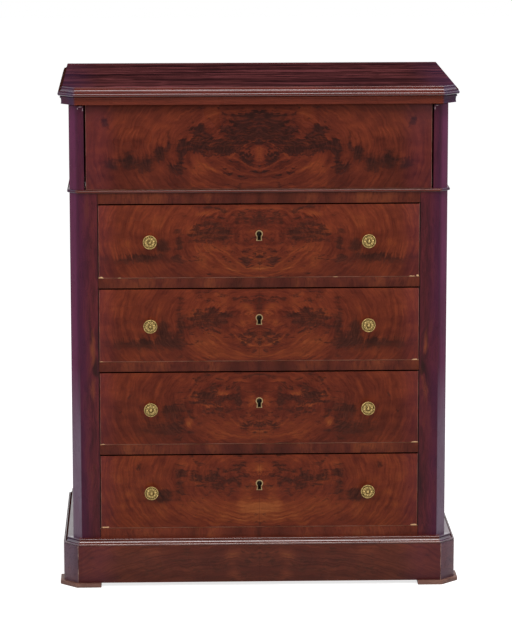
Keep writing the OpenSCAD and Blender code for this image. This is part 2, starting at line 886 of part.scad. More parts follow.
// Lock case with its top plate, the bolt's channel, the key's chamber and the pin in it.
module drawer_lock(n) {
    color(IRON) placed() {
        difference() {
            union() {
                middle_block(lock_w / 2, front_t - lock_t, front_t, key_z(n) - lock_low, front_top(n));
                middle_block(selvedge_w / 2, front_t - lock_t, front_t,
                    front_top(n) - selvedge_t, front_top(n));
            }
            middle_block(bolt_w / 2 + play, bolt_y - bolt_t / 2 - play, bolt_y + bolt_t / 2 + play,
                front_top(n) - bolt_len - play, front_top(n) + over);
            facing_front(key_z(n), front_t - lock_t + chamber_d, chamber_d + over) {
                circle(key_r + over);
                translate([-key_slot, -key_low]) square([2 * key_slot, key_low]);
            }
        }
        facing_front(key_z(n), front_t - lock_t + chamber_d, chamber_d) circle(key_pin_r);
    }
}

module drawer_bolt(n) {
    color(BRASS) placed() middle_block(bolt_w / 2, bolt_y - bolt_t / 2, bolt_y + bolt_t / 2,
        front_top(n) - bolt_len, front_top(n));
}

side_panels();
corner_stiles();
cheek_posts();
top_rail();
divider_rails();
bottom_rail();
drawer_runners();
drawer_guides();
drawer_stops();
back_boards();
bottom_board();
deck_board();
marble_slab();
bead_moulding();
plinth_boards();
plinth_moulding();
foot_pads();
hinge_rail();
hinge_case_leaves();
hinge_pins();
hinge_case_screws();
lid_board();
lid_frame();
lid_moulding();
frieze_panel();
frieze_blocks();
hinge_lid_leaves();
hinge_lid_screws();
for (n = [1:drawer_count]) {
    drawer_front(n);
    drawer_sides(n);
    drawer_back(n);
    drawer_bottom(n);
    drawer_knobs(n);
    drawer_escutcheon(n);
    drawer_lock(n);
    drawer_bolt(n);
}
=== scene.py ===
"""Looks of the washstand chest of drawers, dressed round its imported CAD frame.

The chest is pine joinery under sawn mahogany. The drawer fronts and the frieze panel carry crotch
veneer, opened like a book about the middle of each front, and the stiles, mouldings and top are solid
mahogany. Each class here is a sub-assembly or a finish of that chest. Sizes are in millimetres unless
a comment says otherwise, and the row frame is the CAD's: the fronts face -Y, and +Z is up.
"""

import logging
import math
from collections.abc import Callable, Iterable, Sequence
from dataclasses import dataclass, field, replace
from enum import Enum
from functools import cached_property

import bmesh
import bpy
from mathutils import Matrix, Vector


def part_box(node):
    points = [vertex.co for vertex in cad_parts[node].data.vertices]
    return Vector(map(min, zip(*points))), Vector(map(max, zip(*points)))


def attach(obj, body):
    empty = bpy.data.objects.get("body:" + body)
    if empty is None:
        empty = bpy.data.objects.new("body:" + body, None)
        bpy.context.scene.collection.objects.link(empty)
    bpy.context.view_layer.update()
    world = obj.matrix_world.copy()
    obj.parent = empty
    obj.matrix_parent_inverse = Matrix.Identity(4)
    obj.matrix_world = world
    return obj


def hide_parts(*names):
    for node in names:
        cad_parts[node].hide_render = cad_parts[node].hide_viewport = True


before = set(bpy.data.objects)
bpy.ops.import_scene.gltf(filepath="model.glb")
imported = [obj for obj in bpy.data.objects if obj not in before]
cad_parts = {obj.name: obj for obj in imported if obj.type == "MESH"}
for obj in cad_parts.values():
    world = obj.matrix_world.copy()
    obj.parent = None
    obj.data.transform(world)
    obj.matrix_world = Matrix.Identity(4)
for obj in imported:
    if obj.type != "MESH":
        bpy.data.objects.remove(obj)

log = logging.getLogger("washstand")

MM = 0.001
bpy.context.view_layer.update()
FRONT_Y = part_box("corner_stiles")[0].y  # plane of the drawer fronts, in metres
SIDE_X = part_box("side_panels")[1].x  # outer face of the right-hand side, in metres
CANT = 20.0  # leg of the canted corners
WELD = 0.02  # corners of a CAD mesh nearer than this are one corner
LEVEL = math.radians(0.4)  # faces that turn less than this are one face
SHARP = math.radians(32)  # edges that turn more than this stay crisp
SAME = 0.05  # lengths that differ by less than this are the same
LONG = 50.0  # upright edges longer than this are a stile's or a post's own
JOINT = 60.0  # edges of a side nearer to the front than this are in its joint with the stile
SKIN = 3.0  # faces of a side within this of its outer face are its outside
ROOMWARDS = -0.2  # a face whose normal's Y is below this looks into the room
ASIDE = 0.3  # a face whose normal has less than this along an axis looks aside from it
TOWARDS = 0.5  # a face whose normal has more than this along an axis looks along it
SQUARE = 0.985  # a face whose normal has more than this along an axis lies square to it
WIDE = 1e6  # half extent of a pattern that has no end
FADE = 1.6  # a patch of figure ends at this many times its half length, and its depth grows by as much
# Lumps of crotch grain: millimetres across it, radians along it, and 1 for the seed.
STREAKS = (1 / 0.17, 1 / 1.7, 1.0)
FIBRES = (1 / 0.36, 1 / 5.0, 1.0)
PORES = (1 / 1.6, 1 / 38.0, 1.0)
WHITE = (1.0, 1.0, 1.0, 1.0)
PAPER = (0.5, 0.5, 0.5, 1.0)
MODES = {  # the setting that a node's mode goes to
    "Math": "operation", "VectorMath": "operation", "Mix": "data_type", "Mapping": "vector_type",
    "MapRange": "interpolation_type", "TexGradient": "gradient_type"}

Socket = bpy.types.NodeSocket
Material = bpy.types.Material
Shape = bmesh.types.BMesh
Face = bmesh.types.BMFace
Value = float | Sequence[float] | Socket | str | None
Triple = tuple[float, float, float]
Spot = tuple[float, float, float, float]
Test = Callable[[Vector, Vector], bool]
Pick = Callable[[Face], int]


class Axis(Enum):
    """Axes of the row frame."""

    X = 0
    Y = 1
    Z = 2


class Slot(Enum):
    """Material slots of the record, passed with each new piece; nothing in this script reads them."""

    VENEER = "mahogany_veneer"
    SOLID = "solid_mahogany"
    BRASS = "brass"
    MARBLE = "marble"


class PaintedLight(str, Enum):
    """Colours painted over the wood near the corners: painted reflections, and one painted shade."""

    # Violet and plum: painted reflections in the polish towards the cants of the stiles and fronts.
    VIOLET = "#602848"
    PLUM = "#3F1731"
    # Pale lilac: painted reflection of the floor on the lower cants of the stiles and the plinth corners.
    FLOOR_REFLECTION = "#6B5A69"
    # Indigo: painted reflection on the cants of the mouldings and the ends of the top.
    INDIGO = "#36233F"
    # Near-black: painted shade along the stiles' inner edges, beside the gaps.
    STILE_EDGE_SHADE = "#1A0B0C"


class Bare(str, Enum):
    """Colours of wood where wear has laid it bare."""

    # Pale arris: worn wood, and on the plinth moulding also a painted highlight.
    ARRIS_WEAR_AND_HIGHLIGHT = "#B89A8C"
    NICK = "#9C7F6C"
    CHIP = "#AE949A"
    VENEER_RIM = "#8E6255"
    VENEER_CHIP = "#C9A078"


class Mark(str, Enum):
    """Colours of lines and stains in a surface."""

    GLUED_SEAM = "#2A1210"
    DARK_FIGURE = "#240F0D"
    LIGHT_FIGURE = "#7A3F24"
    KEYHOLE_DARK = "#17110A"
    RUST = "#2E221A"
    MARBLE_VEIN = "#83807C"


def linear(code: str) -> tuple[float, ...]:
    """Linear colour, with an alpha of 1, of an sRGB hex value such as "#6B2A1B"."""
    parts = [int(code[i : i + 2], 16) / 255 for i in (1, 3, 5)]
    return (*(c / 12.92 if c <= 0.04045 else ((c + 0.055) / 1.055) ** 2.4 for c in parts), 1.0)


class Recipe:
    """Node tree of a material or of the world, written node by node."""

    def __init__(self, owner: bpy.types.ID, middle: float = 0.0) -> None:
        """Starts an empty tree.

        Args:
            owner: the material or world.
            middle: height that its coordinates count from.
        """
        owner.use_nodes = True
        owner.node_tree.nodes.clear()
        self.owner, self.tree, self.middle = owner, owner.node_tree, middle

    def add(
        self,
        kind: str,
        *values: Value,
        sockets: dict[str, Value] | None = None,
        stops: Iterable[tuple[float, str]] = (),
        out: str = "",
        **settings: object,
    ) -> Socket:
        """Adds one node with its settings and links.

        Args:
            kind: the node's type without ShaderNode, and its mode after a dot, as in "Math.ADD".
            values: links, numbers or hex colours for the node's inputs, in their order.
            sockets: the same for inputs by name.
            stops: places and colours of a colour ramp.
            out: name of the output wanted, the first one if empty.
            settings: properties of the node.

        Returns:
            The output socket.
        """
        kind, _, mode = kind.partition(".")
        node = self.tree.nodes.new("ShaderNode" + kind)
        if mode:
            settings[MODES[kind]] = mode
        for key, setting in settings.items():
            setattr(node, key, setting)
        for i, (place, code) in enumerate(stops):
            ramp = node.color_ramp.elements
            stop = ramp[i] if i < len(ramp) else ramp.new(place)
            stop.position, stop.color = place, linear(code)
        named = [(node.inputs[key], value) for key, value in (sockets or {}).items()]
        for socket, value in [*zip([s for s in node.inputs if s.enabled], values), *named]:
            if isinstance(value, Socket):
                self.tree.links.new(value, socket)
            elif value is not None:
                socket.default_value = linear(value) if isinstance(value, str) else value
        return node.outputs[out] if out else next((s for s in node.outputs if s.enabled), None)

    @cached_property
    def place(self) -> Socket:
        """Object coordinates in millimetres, which are the row frame's."""
        here = self.add("TexCoord", out="Object")
        return self.add("Mapping", here, (0, 0, -self.middle), None, (1 / MM,) * 3)

    def noise(self, at: Value, cell: Sequence[float], detail: float = 2.0, rough: float = 0.5) -> Socket:
        """Grey noise around 0.5, whose lumps have the extents of the cell."""
        spot = self.add("Mapping", at, (0, 0, 0), (0, 0, 0), tuple(1 / c for c in cell))
        return self.add("TexNoise", spot, 1.0, detail, rough, out="Fac")

    def bent(self, at: Value, cell: float, reach: float, detail: float = 2.0) -> Socket:
        """Coordinates pushed about by noise, as growth bends the grain.

        Args:
            at: coordinates in millimetres.
            cell: size of the lumps that push.
            reach: longest push, in millimetres.
            detail: octaves of finer noise.

        Returns:
            The pushed coordinates.
        """
        push = self.add("TexNoise", at, 1 / cell, detail, out="Color")
        push = self.add("VectorMath.SUBTRACT", push, (0.5, 0.5, 0.5))
        push = self.add("VectorMath.SCALE", push, sockets={"Scale": 2 * reach})
        return self.add("VectorMath.ADD", at, push)

    def chipped(self, colour: Value, chips: Iterable[Spot], bare: Bare) -> Value:
        """Lays bare ragged spots of pale wood over a colour.

        Args:
            colour: the sound colour.
            chips: spots, as x, z, half length and half height.
            bare: the wood laid bare.

        Returns:
            The chipped colour.
        """
        rag = self.add("Math.SUBTRACT", self.noise(self.place, (5, 5, 2.5)), 0.5)
        for x, z, half_w, half_h in chips:
            spot = self.add("Mapping.TEXTURE", self.place, (x, 0, z), None, (half_w, WIDE, half_h))
            off = self.add("Math.MULTIPLY_ADD", rag, 1.6, self.add("VectorMath.LENGTH", spot))
            colour = self.add("Mix.RGBA", self.add("MapRange", off, 0.95, 0.75), colour, bare)
        return colour

    def finish(self, shader: Socket, output: str = "OutputMaterial") -> bpy.types.ID:
        """Joins the shader to the output and hands over the material or world."""
        self.add(output, shader)
        return self.owner


@dataclass(frozen=True)
class Finish:
    """A surface.

    Attributes:
        name: name of its material, for what it is and how it was made.
    """

    name: str

    def material(self) -> Material:
        """The finish's material, made when it is first wanted."""
        return bpy.data.materials.get(self.name) or self.build()

    def recipe(self, middle: float = 0.0) -> Recipe:
        """Starts the material, with coordinates that count from the given height."""
        return Recipe(bpy.data.materials.new(self.name), middle)

    def build(self) -> Material:
        """Makes the material."""
        raise NotImplementedError


@dataclass(frozen=True)
class Polish:
    """French polish over wood: shellac rubbed on by hand, smooth but not dead flat.

    Attributes:
        rough: roughness of the film.
        level: specular level. 0.5 is shellac's own, and less stands for a worn, matt film.
        coat: share of the surface that still has a full, glossy film.
        ripple: depth of the film's slow ripples.
        pore: depth of the open pores.
    """

    rough: float = 0.3
    level: float = 0.3
    coat: float = 0.0
    ripple: float = 0.4
    pore: float = 0.08

    def over(self, r: Recipe, colour: Value, pores: Value) -> Socket:
        """Shader of polished wood.

        Args:
            r: the material's recipe.
            colour: colour of the wood under the film.
            pores: height of the grain, where 0 is the bottom of a pore.

        Returns:
            The shader's output.
        """
        wave = r.noise(r.place, (70, 70, 70))
        rough = r.add("MapRange", wave, 0.3, 0.7, self.rough * 0.85, self.rough * 1.2)
        film = r.add("Bump", 0.25, self.ripple * MM, sockets={"Height": wave})
        grain = r.add("Bump", 0.35, self.pore * MM, sockets={"Height": pores, "Normal": film})
        return r.add("BsdfPrincipled", colour, 0.0, rough, sockets={
            "Specular IOR Level": self.level, "Coat Weight": self.coat, "Coat Roughness": 0.12,
            "Normal": grain, "Coat Normal": film})


@dataclass(frozen=True)
class PaintedTint:
    """Colour painted over the wood by its distance from the middle: violet and lilac painted reflections
    near the cants, and painted shade by the gaps.

    Attributes:
        film: the colour.
        start: distance from the middle of the front where it begins.
        full: distance from the middle where it is full.
        share: its largest share.
        fade: heights between which it comes in, going down, or none for all heights.
        behind: how far behind the cants it reaches.
    """

    film: PaintedLight
    start: float
    full: float
    share: float
    fade: tuple[float, float] | None = None
    behind: float = 25.0

    def over(self, r: Recipe, colour: Value) -> Socket:
        """Lays the tinge over a colour.

        Args:
            r: the material's recipe.
            colour: the colour under it.

        Returns:
            The tinged colour.
        """
        x, y, z = r.add("SeparateXYZ", r.place).node.outputs
        far = r.add("Math.ABSOLUTE", x)
        share = r.add("MapRange.SMOOTHSTEP", far, self.start, self.full, 0.0, self.share)
        front = FRONT_Y / MM + CANT
        share = r.add("Math.MULTIPLY", share, r.add("MapRange", y, front + 1, front + self.behind, 1.0, 0.0))
        if self.fade:
            share = r.add("Math.MULTIPLY", share, r.add("MapRange", z, *self.fade))
        cloud = r.add("MapRange", r.noise(r.place, (30, 30, 120), 3.0), 0.35, 0.65, 0.75, 1.15)
        return r.add("Mix.RGBA", r.add("Math.MULTIPLY", share, cloud), colour, self.film)


@dataclass(frozen=True)
class Patch:
    """A dark or light patch of figure on the right-hand leaf of a book-matched front.

    Attributes:
        x: distance from the seam.
        z: height over the middle of the front.
        rx: half length.
        rz: half height.
        depth: how dark it is, or how light if below 0.
        turn: turn in degrees, towards the seam at the top.
    """

    x: float
    z: float
    rx: float
    rz: float
    depth: float = 1.0
    turn: float = 0.0

    def ball(self, r: Recipe, page: Value) -> Socket:
        """Share of the patch at a point of the leaf, from 1 at its middle to 0 well outside it."""
        spot = r.add("Mapping.TEXTURE", page, (self.x, 0, self.z), (0, math.radians(self.turn), 0),
                     (self.rx * FADE, WIDE, self.rz * FADE))
        return r.add("TexGradient.SPHERICAL", spot, out="Fac")


@dataclass(frozen=True)
class Arc:
    """A dark or light line of figure that curves over or under the heart, as one half of an oval.

    Attributes:
        z: height of the oval's middle over the middle of the front.
        rx: half length of the oval.
        rz: half height of the oval.
        depth: how dark it is, or how light if below 0.
        width: half width of the line, as a share of the oval.
        under: True for the lower half.
        point: how much of a point it has on the seam, from 0 for an oval to 1 for a lozenge.
    """

    z: float
    rx: float
    rz: float
    depth: float
    width: float = 0.09
    under: bool = True
    point: float = 0.3

    def line(self, r: Recipe, page: Value) -> Socket:
        """Share of the line at a point, from 1 times its depth on the line to 0 beside it.

        Args:
            r: the material's recipe.
            page: coordinates on the right-hand leaf.

        Returns:
            The share.
        """
        spot = r.add("Mapping.TEXTURE", page, (0, 0, self.z), None, (self.rx, WIDE, self.rz))
        lozenge = r.add("VectorMath.DOT_PRODUCT", r.add("VectorMath.ABSOLUTE", spot), (1, 0, 1))
        size = r.add("Mix", self.point, r.add("VectorMath.LENGTH", spot), lozenge)
        off = r.add("Math.ABSOLUTE", r.add("Math.SUBTRACT", size, 1.0))
        line = r.add("MapRange.SMOOTHSTEP", off, 0.0, self.width, abs(self.depth), 0.0)
        up = r.add("SeparateXYZ", spot, out="Z")
        half = r.add("MapRange", up, *((0.1, -0.2) if self.under else (-0.1, 0.2)))
        return r.add("Math.MULTIPLY", line, half)


@dataclass(frozen=True)
class Wood(Finish):
    """Sawn wood: broad bands of growth, fine fibres along the grain, and short dark pores.

    Attributes:
        tones: sRGB colours from the darkest band to the lightest.
        bands: extents of one broad band along X, Y and Z.
        fibres: extents of one fibre along X, Y and Z.
        bend: how far growth bends the bands.
        tilt: turn of the grain about each axis, in degrees.
        contrast: share of the fibres in the colour.
        spread: half width of the noise that the tones are spread over.
        polish: film over the wood.
        painted_tints: painted reflections and painted shade laid over the wood.
        pale_arrises: arrises painted pale in patches, each as an axis and its place on it: wear, and on the
            plinth moulding a painted highlight too. X is counted from the middle to both sides.
        nicks: level of fine noise above which the film is nicked down to pale wood.
        chips: worn places, as x, z, half length and half height.
        figure: dark and light patches, the same on both sides of the middle. Their heights are
            counted from the floor.
    """

    tones: tuple[str, ...]
    bands: Triple
    fibres: Triple
    bend: float = 6.0
    tilt: Triple = (0.0, 0.0, 0.0)
    contrast: float = 0.35
    spread: float = 0.22
    polish: Polish = Polish()
    painted_tints: tuple[PaintedTint, ...] = ()
    pale_arrises: tuple[tuple[Axis, float], ...] = ()
    nicks: float = 1.0
    chips: tuple[Spot, ...] = ()
    figure: tuple[Patch, ...] = ()

    def build(self) -> Material:
        """Makes the material."""
        r = self.recipe()
        at = r.add("Mapping", r.place, None, tuple(math.radians(a) for a in self.tilt))
        at = r.bent(at, 90.0, self.bend)
        bands, fibres = r.noise(at, self.bands, 3.0, 0.55), r.noise(at, self.fibres, 2.0, 0.6)
        pores = r.noise(at, tuple(f * 0.6 for f in self.fibres), 1.0)
        grain = r.add("Mix", self.contrast, bands, fibres)
        tone = r.add("MapRange", grain, 0.5 - self.spread, 0.5 + self.spread)
        steps = len(self.tones) - 1
        colour = r.add("ValToRGB", tone, stops=[(i / steps, code) for i, code in enumerate(self.tones)])
        if self.figure:
            colour = self.figured(r, colour, grain)
        for tinge in self.painted_tints:
            colour = tinge.over(r, colour)
        for axis, arris_at in self.pale_arrises:
            colour = self.rubbed(r, colour, axis, arris_at)
        if self.nicks < 1:
            bare = r.add("MapRange", r.noise(r.place, (7, 7, 3), 1.0), self.nicks, self.nicks + 0.04)
            colour = r.add("Mix.RGBA", bare, colour, Bare.NICK)
        if self.chips:
            colour = r.chipped(colour, self.chips, Bare.CHIP)
        dark = r.add("MapRange", pores, 0.3, 0.45, 0.72, 1.0)
        colour = r.add("HueSaturation", sockets={"Value": dark, "Color": colour})
        return r.finish(self.polish.over(r, colour, pores))

    def figured(self, r: Recipe, colour: Value, grain: Value) -> Value:
        """Lays the patches of figure over the colour.

        Args:
            r: the material's recipe.
            colour: the plain wood's colour.
            grain: bands and fibres, which break the edges of the patches.

        Returns:
            The figured colour.
        """
        x, _, z = r.add("SeparateXYZ", r.place).node.outputs
        page = r.add("CombineXYZ", r.add("Math.ABSOLUTE", x), 0.0, z)
        page = r.bent(r.bent(page, 46.0, 16.0), 12.0, 4.0)
        broken = r.add("MapRange", grain, 0.35, 0.65, -0.3, 0.3)
        for patch in self.figure:
            share = r.add("Math.MULTIPLY_ADD", patch.ball(r, page), abs(patch.depth) * FADE, broken)
            share = r.add("MapRange.SMOOTHSTEP", share, 0.1, 1.1, 0.0, 0.85)
            colour = r.add("Mix.RGBA", share, colour,
                           Mark.DARK_FIGURE if patch.depth > 0 else Mark.LIGHT_FIGURE)
        return colour

    def rubbed(self, r: Recipe, colour: Value, axis: Axis, arris_at: float) -> Value:
        """Paints an arris pale, in patches: wear, and on the plinth moulding a painted highlight as well.

        Args:
            r: the material's recipe.
            colour: the sound colour.
            axis: axis that the arris stands on.
            arris_at: its place on that axis.

        Returns:
            The rubbed colour.
        """
        far = r.add("Math.ABSOLUTE", r.add("SeparateXYZ", r.place).node.outputs[axis.value])
        off = r.add("Math.ABSOLUTE", r.add("Math.SUBTRACT", far, arris_at))
        cell = (8, 8, 22) if axis is Axis.X else (90, 90, 8)
        patchy = r.add("MapRange", r.noise(r.place, cell, 3.0, 0.7), 0.42, 0.6, 0.05, 0.8)
        bare = r.add("Math.MULTIPLY", r.add("MapRange", off, 0.3, 1.5, 1.0, 0.0), patchy)
        return r.add("Mix.RGBA", bare, colour, Bare.ARRIS_WEAR_AND_HIGHLIGHT)


@dataclass(frozen=True)
class FlameVeneer(Finish):
    """Crotch mahogany, sawn from a fork of the trunk and opened like a book about its seam.

    The grain runs in ovals round the heart of the figure. Dark patches lie across it, and their edges
    are drawn out along the grain. The film over it is French polish.

    Attributes:
        node: CAD node whose front carries the veneer. Heights are counted from its middle.
        patches: dark and light patches.
        arcs: dark and light arcs round the heart.
        heart: height of the heart of the figure.
        seed: shift that gives each front its own fine grain.
        warm: share of orange in the ground.
        gain: strength of the dark patches.
        mottled: distance from the seam up to which the cross figure is strong.
        shades: colours of the dark figure, from the darkest.
        tones: colours of the ground, from the darkest.
        film: polish over it.
        chips: worn corners, as x, z, half length and half height.
    """

    node: str
    patches: tuple[Patch, ...]
    arcs: tuple[Arc, ...] = ()
    heart: float = 12.0
    seed: float = 0.0
    warm: float = 0.5
    gain: float = 1.0
    mottled: float = 140.0
    shades: tuple[str, ...] = ("#28120C", "#371A12", "#462017")
    tones: tuple[str, ...] = ("#451910", "#572316", "#662B19", "#75371D", "#874826")
    film: Polish = Polish(rough=0.3, level=0.07)
    chips: tuple[Spot, ...] = ()

    def build(self) -> Material:
        """Makes the material of this front."""
        low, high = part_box(self.node)
        r = self.recipe((low.z + high.z) / 2 / MM)
        x, _, z = r.add("SeparateXYZ", r.bent(r.place, 110.0, 5.0)).node.outputs
        page = r.add("CombineXYZ", r.add("Math.ABSOLUTE", x), self.seed, z)
        page = r.bent(r.bent(page, 46.0, 11.0, 3.0), 10.0, 2.5)
        flow = self.flow(r, page)
        streak, fine = r.noise(flow, STREAKS, 3.0, 0.6), r.noise(flow, FIBRES, 2.0, 0.6)
        pores = r.noise(flow, PORES, 1.0)
        hang = r.add("MapRange", r.add("Mix", 0.5, streak, fine), 0.34, 0.66, -7.0, 7.0)
        drawn = r.add("VectorMath.ADD", page, r.add("CombineXYZ", 0.0, 0.0, hang))
        cloud = r.noise(page, (42, 42, 30), 3.0, 0.6)
        edge = r.add("Math.MULTIPLY_ADD", fine, 0.7, r.add("Math.MULTIPLY_ADD", cloud, 1.1, -0.9))
        dark, light = self.figure(r, page, drawn, edge)
        broad = r.noise(page, (70, 70, 26))
        tone = r.add("Mix", 0.3, r.add("Mix", 0.5, cloud, broad), streak)
        tone = r.add("MapRange", tone, 0.38, 0.62, self.warm - 0.3, self.warm + 0.24)
        tone = r.add("Math.MULTIPLY_ADD", light, 0.5, tone)
        ground = r.add("ValToRGB", tone, stops=zip((0.0, 0.3, 0.55, 0.8, 1.0), self.tones))
        shade = r.add("ValToRGB", fine, stops=zip((0.3, 0.52, 0.74), self.shades))
        colour = r.add("Mix.RGBA", r.add("Math.MULTIPLY", dark, 0.9), ground, shade)
        grain = r.add("MapRange", r.add("Mix", 0.4, fine, streak), 0.38, 0.62, 0.78, 1.12)
        value = r.add("Math.MULTIPLY", grain, r.add("MapRange", pores, 0.3, 0.42, 0.8, 1.0))
        colour = r.add("HueSaturation", sockets={"Value": value, "Color": colour})
        # A faint violet painted reflection towards the ends of the front.
        colour = PaintedTint(PaintedLight.VIOLET, 300.0, 360.0, 0.14).over(r, colour)
        return r.finish(self.film.over(r, self.wear(r, colour), pores))

    def flow(self, r: Recipe, page: Value) -> Socket:
        """Grain coordinates: the size of the oval through a point, the angle along it and the seed.

        Args:
            r: the material's recipe.
            page: coordinates on the folded leaf.

        Returns:
            The three as one vector.
        """
        turned = r.add("Mapping.TEXTURE", page, (0, 0, self.heart), None, (2.0, WIDE, 1.0))
        across, _, up = r.add("SeparateXYZ", turned).node.outputs
        across = r.add("Math.MULTIPLY", across, r.add("Math.MULTIPLY_ADD", across, 0.0014, 1.0))
        ring = r.add("VectorMath.LENGTH", r.add("CombineXYZ", across, 0.0, up))
        return r.add("CombineXYZ", ring, r.add("Math.ARCTAN2", up, across), self.seed)

    def figure(self, r: Recipe, page: Value, drawn: Value, edge: Value) -> tuple[Value, Value]:
        """Darkness and lightness of the figure at a point.

        Args:
            r: the material's recipe.
            page: coordinates on the folded leaf.
            drawn: the same, drawn out along the grain.
            edge: what breaks the edges of the dark figure.

        Returns:
            Darkness and lightness.
        """
        dark: Value = 0.0
        light: Value = 0.0
        for patch in self.patches:
            ball = patch.ball(r, drawn)
            if patch.depth > 0:
                dark = r.add("Math.MULTIPLY_ADD", ball, patch.depth * FADE * self.gain, dark)
            else:
                light = r.add("Math.MULTIPLY_ADD", ball, -patch.depth * FADE, light)
        for arc in self.arcs:
            if arc.depth > 0:
                dark = r.add("Math.ADD", arc.line(r, page), dark)
            else:
                light = r.add("Math.ADD", arc.line(r, page), light)
        # Fine cross figure of the crotch: short dark and light bars and blots, strong near the seam.
        across = r.add("SeparateXYZ", page)
        inside = r.add("MapRange", across, self.mottled, self.mottled + 60.0, 1.0, 0.25)
        bars = r.add("MapRange", r.noise(page, (30, 30, 8), 3.0, 0.6), 0.36, 0.64, -0.55, 0.55)
        blots = r.add("MapRange", r.noise(page, (13, 13, 11), 2.0, 0.6), 0.34, 0.66, -0.4, 0.4)
        edge = r.add("Math.MULTIPLY_ADD", r.add("Math.ADD", bars, blots), inside, edge)
        dark = r.add("Math.MULTIPLY_ADD", light, -0.6, r.add("Math.ADD", dark, edge))
        dark = r.add("MapRange.SMOOTHSTEP", dark, 0.12, 0.9)
        curl = r.add("MapRange.SMOOTHSTEP", r.noise(page, (30, 30, 5), 3.0, 0.6), 0.5, 0.62, 0.0, 0.5)
        curl = r.add("Math.MULTIPLY", curl, inside)
        return r.add("Math.SUBTRACT", dark, curl, use_clamp=True), light

    def wear(self, r: Recipe, colour: Value) -> Value:
        """Adds the seam, the rubbed edges and the chipped corners to the colour.

        Args:
            r: the material's recipe.
            colour: colour of the sound veneer.

        Returns:
            The worn colour.
        """
        low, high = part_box(self.node)
        half_w, half_h = high.x / MM, (high.z - low.z) / 2 / MM
        x, _, z = r.add("SeparateXYZ", r.place).node.outputs
        far = r.add("Math.ABSOLUTE", x)
        seam = r.add("MapRange", far, 0.4, 1.1, 0.3, 0.0)
        colour = r.add("Mix.RGBA", seam, colour, Mark.GLUED_SEAM)
        side = r.add("MapRange", far, half_w - 1.6, half_w - 0.6)
        foot = r.add("MapRange", z, 0.6 - half_h, 1.8 - half_h, 1.0, 0.0)
        rubbed = r.add("MapRange", r.noise(r.place, (60, 60, 30), 3.0, 0.7), 0.38, 0.6, 0.15, 0.75)
        rim = r.add("Math.MULTIPLY", r.add("Math.MAXIMUM", side, foot), rubbed)
        colour = r.add("Mix.RGBA", rim, colour, Bare.VENEER_RIM)
        return r.chipped(colour, self.chips, Bare.VENEER_CHIP)


@dataclass(frozen=True)
class Keyhole:
    """A round keyhole with a slot below it.

    Attributes:
        z: height of the middle of its round part.
        radius: radius of the round part.
        slot: half width of the slot.
        foot: foot of the slot under the middle.
        dark_band: width of the darkened edge round the hole.
    """

    z: float
    radius: float = 4.4
    slot: float = 2.4
    foot: float = 12.8
    dark_band: float = 1.7

    def dark_ring(self, r: Recipe) -> Socket:
        """Share of the near-black colour laid round the hole.

        Args:
            r: the material's recipe.

        Returns:
            The share, 1 at the hole.
        """
        x, _, z = r.add("SeparateXYZ", r.place).node.outputs
        x, z = r.add("Math.ABSOLUTE", x), r.add("Math.SUBTRACT", z, self.z)
        head = r.add("VectorMath.LENGTH", r.add("CombineXYZ", x, 0.0, z))
        head = r.add("Math.SUBTRACT", head, self.radius)
        below = r.add("Math.MAXIMUM", r.add("Math.MULTIPLY_ADD", z, -1.0, -self.foot), z)
        stem = r.add("Math.MAXIMUM", r.add("Math.SUBTRACT", x, self.slot), below)
        off = r.add("Math.MINIMUM", head, stem)
        return r.add("MapRange", off, self.dark_band * 0.6, self.dark_band * 1.3, 0.95, 0.0)


@dataclass(frozen=True)
class AgedBrass(Finish):
    """Cast brass, once lacquered: bright where hands rub it, brown in its hollows.

    Attributes:
        bright: colour of the rubbed metal.
        brown: colour of the tarnish.
        rough: roughness where it is rubbed.
        stain: largest share of the stains.
        keyhole: keyhole whose edge is darkened, or none.
    """

    bright: str
    brown: str
    rough: float = 0.34
    stain: float = 0.5
    keyhole: Keyhole | None = None

    def build(self) -> Material:
        """Makes the material."""
        r = self.recipe()
        spots = r.noise(r.place, (6, 6, 6), 4.0, 0.65)
        hollow = r.add("AmbientOcclusion", WHITE, 2.5 * MM, out="AO", samples=8)
        hollow = r.add("MapRange", hollow, 0.45, 0.95, 1.0, 0.0)
        stain = r.add("MapRange", spots, 0.4, 0.66, 0.0, self.stain)
        brown = r.add("Math.ADD", hollow, stain, use_clamp=True)
        colour = r.add("Mix.RGBA", brown, self.bright, self.brown)
        if self.keyhole:
            colour = r.add("Mix.RGBA", self.keyhole.dark_ring(r), colour, Mark.KEYHOLE_DARK)
        rough = r.add("MapRange", brown, 0.0, 1.0, self.rough, self.rough + 0.25)
        grit = r.add("Bump", 0.2, 0.05 * MM, sockets={"Height": r.noise(r.place, (0.7, 0.7, 0.7))})
        return r.finish(r.add("BsdfPrincipled", colour, 1.0, rough, sockets={"Normal": grit}))


@dataclass(frozen=True)
class ForgedIron(Finish):
    """Hand-filed iron of the locks, browned with oil and age."""

    def build(self) -> Material:
        """Makes the material."""
        r = self.recipe()
        rust = r.add("MapRange", r.noise(r.place, (7, 7, 7), 4.0, 0.7), 0.5, 0.7)
        filed = r.noise(r.place, (0.5, 0.5, 9.0))
        steel = r.add("ValToRGB", filed, stops=((0.3, "#2E2A24"), (0.7, "#4A443A")))
        colour = r.add("Mix.RGBA", rust, steel, Mark.RUST)
        rough = r.add("MapRange", rust, 0.0, 1.0, 0.42, 0.75)
        metal = r.add("MapRange", rust, 0.0, 1.0, 1.0, 0.3)
        normal = r.add("Bump", 0.3, 0.05 * MM, sockets={"Height": filed})
        return r.finish(r.add("BsdfPrincipled", colour, metal, rough, sockets={"Normal": normal}))


